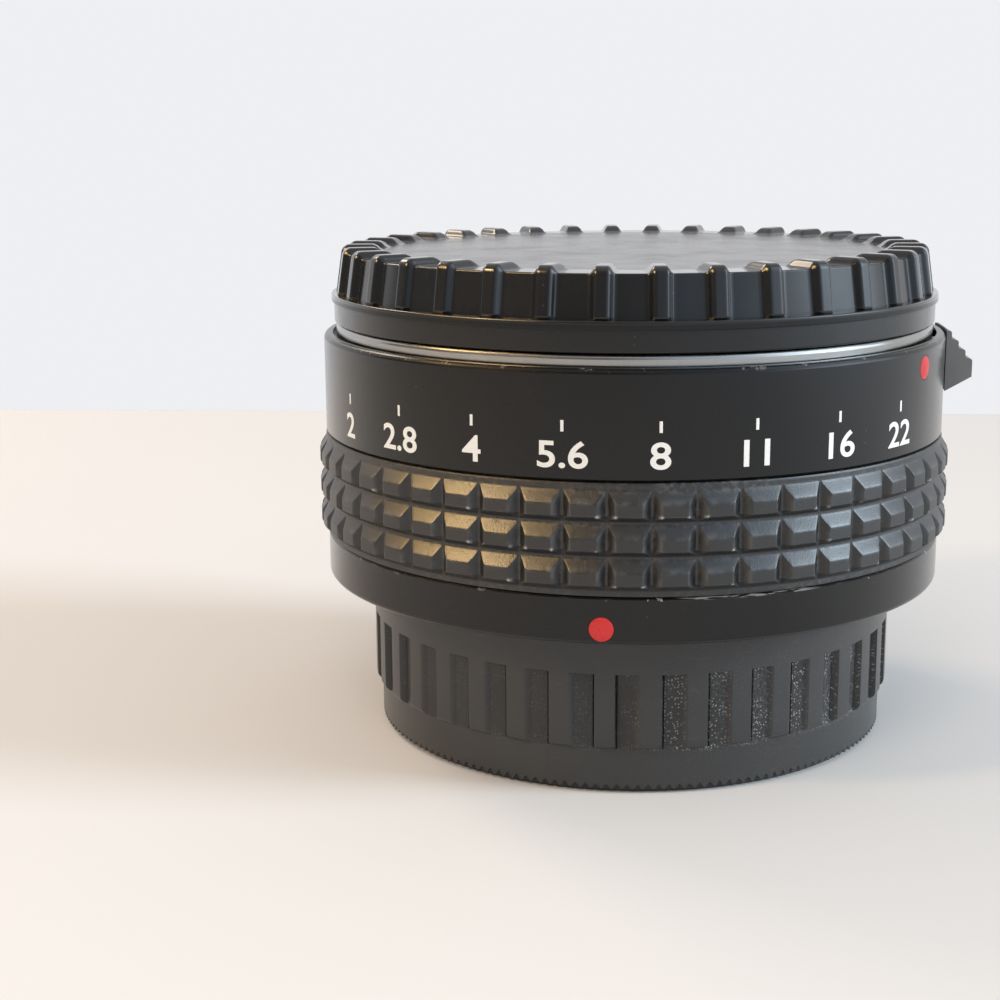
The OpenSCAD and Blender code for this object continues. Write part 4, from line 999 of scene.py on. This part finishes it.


# round wire along a helix: place = middle + (coil + wire * cos) about the axis, level + wire * sin; its ends
# draw in to a point
def makeReleaseSpring(spec, finish):
    low, high = (np.array(corner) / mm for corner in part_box("release_spring"))
    middle, height = (low + high) / 2, high[2] - low[2]
    coil = (high[1] - low[1] - spec["wire"]) / 2
    turns = np.linspace(0, spec["turns"], spec["turns"] * spec["steps"] + 1)
    turns = np.concatenate([turns[:1], turns, turns[-1:]])
    thick = np.full(len(turns), spec["wire"] / 2)
    thick[[0, -1]] = 0
    side = np.linspace(0, 2 * math.pi, spec["sides"] + 1)[:-1, None]
    out = coil + thick * np.cos(side)
    climb = (height - spec["wire"]) * turns / spec["turns"]
    level = low[2] + spec["wire"] / 2 + climb + thick * np.sin(side)
    angle = 2 * math.pi * turns
    points = np.stack([middle[0] + out * np.cos(angle), middle[1] + out * np.sin(angle), level], -1) * mm
    grid = {"points": points, "loopRows": True, "loopColumns": False}
    piece = makePiece("releaseSpring", [grid], finish, "barrel", ["release_spring"])
    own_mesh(piece)


# Plain numbers on the band, millimetres and degrees
bandNumbers = {
    "words": ["2", "2.8", "4", "5.6", "8", "11", "16", "22"],
    "from": -58.0,
    "to": 52.0,
    "level": 31.75,
    "size": 3.3,
    "widen": 1.18,
    "bolder": 0.05,
    "thick": 0.03,
    "sink": 0.012,
    "curveSteps": 6,
    "tickLevel": 34.9,
    "tickHigh": 1.0,
    "tickWide": 0.28,
    "tickSink": 0.03,
    "tickRound": 0.005,
    "tickColumns": 4,
}


# a number laid flat and made a mesh: its points, the point at each face corner, and each face's first corner
def flatNumber(word, spec):
    text = bpy.data.curves.new("number", "FONT")
    text.body = word
    text.size = spec["size"]
    text.align_x = "CENTER"
    text.extrude = spec["thick"] / 2
    text.resolution_u = spec["curveSteps"]
    text.offset = spec["bolder"]
    letter = bpy.data.objects.new("number", text)
    bpy.context.scene.collection.objects.link(letter)
    bpy.context.view_layer.update()
    flat = bpy.data.meshes.new_from_object(letter.evaluated_get(bpy.context.evaluated_depsgraph_get()))
    place = np.empty(len(flat.vertices) * 3)
    corners = np.empty(len(flat.loops), np.int32)
    firsts = np.empty(len(flat.polygons), np.int32)
    flat.vertices.foreach_get("co", place)
    flat.loops.foreach_get("vertex_index", corners)
    flat.polygons.foreach_get("loop_start", firsts)
    bpy.data.objects.remove(letter)
    bpy.data.curves.remove(text)
    bpy.data.meshes.remove(flat)
    return place.reshape(-1, 3), corners, firsts


# each flat number is rolled onto the barrel: x goes round it and y goes up it; a tick stands over each
def makeNumbers(spec, finish):
    barrel = roundSpan("front_barrel")[2]
    azimuths = np.radians(np.linspace(spec["from"], spec["to"], len(spec["words"])))
    points, corners, firsts = [], [], []
    pointCount, cornerCount = 0, 0
    for word, azimuth in zip(spec["words"], azimuths):
        place, corner, first = flatNumber(word, spec)
        out = barrel - spec["sink"] + spec["thick"] / 2 + place[:, 2]
        points.append(turn(out, azimuth + place[:, 0] * spec["widen"] / barrel, spec["level"] + place[:, 1]))
        corners.append(corner + pointCount)
        firsts.append(first + cornerCount)
        pointCount += len(place)
        cornerCount += len(corner)
    mesh = fillMesh("bandNumbers", *(np.concatenate(parts) for parts in (points, corners, firsts)))
    joinSeams(mesh)
    piece = showMesh(mesh, finish, False)
    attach(piece, "barrel")
    tickIn, tickOut = barrel - spec["tickSink"], barrel + spec["thick"] - spec["sink"]
    tick = (tickIn, tickOut, spec["tickLevel"], spec["tickLevel"] + spec["tickHigh"])
    ends = (math.degrees(spec["tickWide"] / barrel), spec["tickRound"], spec["tickColumns"])
    ticks = [ringBlock(*tick, math.degrees(azimuth), *ends) for azimuth in azimuths]
    makePiece("bandTicks", ticks, finish, "barrel")


finishes = {slot: makeFinish(slot, recipe) for slot, recipe in recipes.items()}
finishes["marking"] = makeFinish("marking", markingRecipe)
for part in frame["record"]["subparts"]:
    nodes[part["node"]].material_slots[0].material = finishes[part["material_slot"]]
print("finishes:", len(finishes))

makeGrip(grip, finishes["grip_rubber"])
makeFrontCap(frontCap, finishes["cap_gloss"])
makeRearCap(rearCap, finishes["cap_matte"])
makeReleaseSpring(releaseSpring, finishes["spring_steel"])
makeNumbers(bandNumbers, finishes["marking"])

# Table, pale sky and soft lamps, millimetres and degrees
stage = {
    "tableBack": 195.0,
    "tableFront": -900.0,
    "tableHalf": 900.0,
    "tableDrop": 60.0,
    "tableRound": 8.0,
    "tableTone": (0.855, 0.82, 0.785),
    "fibreSize": 0.8,
    "cloudSize": 60.0,
    "backdropTone": (0.86, 0.865, 0.89),
    "skyTone": (0.488, 0.498, 0.523),
    "cardRadius": 700.0,
    "cardHalfAngle": 104.0,
    "cardColumns": 25,
    "cardHigh": 1000.0,
    "cardGlow": 10.0,
    "cardFront": (0.025, 0.025, 0.026, 1.0),
    "cardRight": (0.07, 0.085, 0.105, 1.0),
    "cardFar": (0.2, 0.235, 0.27, 1.0),
    "cardWarm": (1.4, 0.9, 0.36, 1.0),
    "rightArc": (-10.0, 35.0),
    "farArc": (35.0, 75.0),
    "warmArc": (-96.0, -80.0, -46.0, -33.0),
    "warmClimb": (0.42, 0.52, 0.9, 1.0),  # height over radius
    "lampAim": 25.0,
}
lamps = {
    "windowRight": {
        "place": (1425, -220, 608), "size": (480, 576), "watts": 20.0, "tone": (0.72, 0.87, 1.0),
    },
    "lampLeft": {
        "place": (-350, -200, 300), "size": (60, 44), "watts": 0.5, "tone": (1.0, 0.76, 0.5),
    },
    "lampBack": {
        "place": (-300, 250, 330), "size": (160, 120), "watts": 0.6, "tone": (1.0, 0.8, 0.6),
    },
    "fill": {
        "place": (-40, -260, 300), "size": (160, 160), "watts": 0.27, "tone": (1.0, 0.88, 0.77),
        "glossy": False,
    },
}


# Pale smooth table: faint fibres and clouds
def tableRecipe(wire):
    point = surfacePoint(wire)
    fibres = grain(point, stage["fibreSize"], 3)
    clouds = grain(point, stage["cloudSize"], 2)
    tone = stage["tableTone"]
    return {
        "Base Color": mixTone(clouds, tone + (1.0,), tuple(0.97 * part for part in tone) + (1.0,)),
        "Roughness": 0.7 + 0.1 * fibres,
        "Normal": bump(fibres, 0.02, 0.3),
        "Specular IOR Level": 0.03,
    }


# a stage mesh from a grid of points
def showGrid(name, points, recipe):
    quads = gridQuads(*points.shape[:2], False, False)
    mesh = fillMesh(name, points.reshape(-1, 3), quads.ravel(), np.arange(len(quads)) * 4)
    return showMesh(mesh, makeFinish(name, recipe))


# table: a profile of its top and rounded back edge, carried along x
def makeTable(spec):
    back = spec["tableBack"]
    edges = [(spec["tableFront"], 0, 0), (back, 0, spec["tableRound"]), (back, -spec["tableDrop"], 0)]
    profile = roundedLine(edges, steps=8)
    x = np.array([-1.0, 1.0]) * spec["tableHalf"]
    points = np.stack(np.broadcast_arrays(x[None], profile[:, :1], profile[:, 1:]), -1) * mm
    table = showGrid("table", points, tableRecipe)


# by azimuth and height: a dim room in front, a pale window side to the right, a warm glow high on the left
def cardRecipe(wire):
    arc, level = aroundAxis(surfacePoint(wire), 180 / math.pi)[1:]
    tone = mixTone(rise(arc, *stage["rightArc"]), stage["cardFront"], stage["cardRight"])
    tone = mixTone(rise(arc, *stage["farArc"]), tone, stage["cardFar"])
    warm = between(arc, *stage["warmArc"]) * between(level / stage["cardRadius"], *stage["warmClimb"])
    return {
        "Base Color": grey(0.0),
        "Roughness": 1.0,
        "Specular IOR Level": 0.0,
        "Emission Color": mixTone(warm, tone, stage["cardWarm"]),
        "Emission Strength": stage["cardGlow"],
    }


# dim card behind the viewer, an arc about the object, so that black parts stay black in front;
# it is only there to be reflected
def makeCard(spec):
    azimuth = np.radians(np.linspace(-1, 1, spec["cardColumns"]) * spec["cardHalfAngle"])
    level = np.array([[0.0], [spec["cardHigh"]]])
    card = showGrid("dimCard", turn(spec["cardRadius"], azimuth[None], level), cardRecipe)
    card.visible_camera = False
    card.visible_diffuse = False
    card.visible_shadow = False


# soft rectangular lamp that faces the object's middle
def makeLamp(name, spec):
    data = bpy.data.lights.new(name, "AREA")
    data.shape = "RECTANGLE"
    data.size, data.size_y = (side * mm for side in spec["size"])
    data.energy = spec["watts"]
    data.color = spec["tone"]
    lamp = bpy.data.objects.new(name, data)
    place = Vector(spec["place"]) * mm
    aim = Vector((0, 0, stage["lampAim"] * mm)) - place
    lamp.matrix_world = Matrix.Translation(place) @ aim.to_track_quat("-Z", "Y").to_matrix().to_4x4()
    lamp.visible_glossy = spec.get("glossy", True)
    bpy.context.scene.collection.objects.link(lamp)


# the camera, gloss and glass see the pale backdrop, and all else is lit by the sky's tone
def makeSky(spec):
    sky = bpy.data.worlds.new("sky")
    sky.use_nodes = True
    sky.node_tree.nodes.clear()
    start = Wire(sky.node_tree)
    ray = start.node("ShaderNodeLightPath", out="Is Camera Ray")
    seen = ray.maths("MINIMUM", ray + ray.also("Is Glossy Ray") + ray.also("Is Transmission Ray"), 1.0)
    tone = mixTone(seen, spec["skyTone"] + (1.0,), spec["backdropTone"] + (1.0,))
    light = start.node("ShaderNodeBackground", {}, {"Color": tone, "Strength": 1.0})
    start.node("ShaderNodeOutputWorld", {}, {"Surface": light})
    bpy.context.scene.world = sky


makeTable(stage)
makeCard(stage)
makeSky(stage)
for lampName, lampSpec in lamps.items():
    makeLamp(lampName, lampSpec)
bpy.context.scene.view_settings.view_transform = "Standard"
print("stage lit by", len(lamps), "lamps")
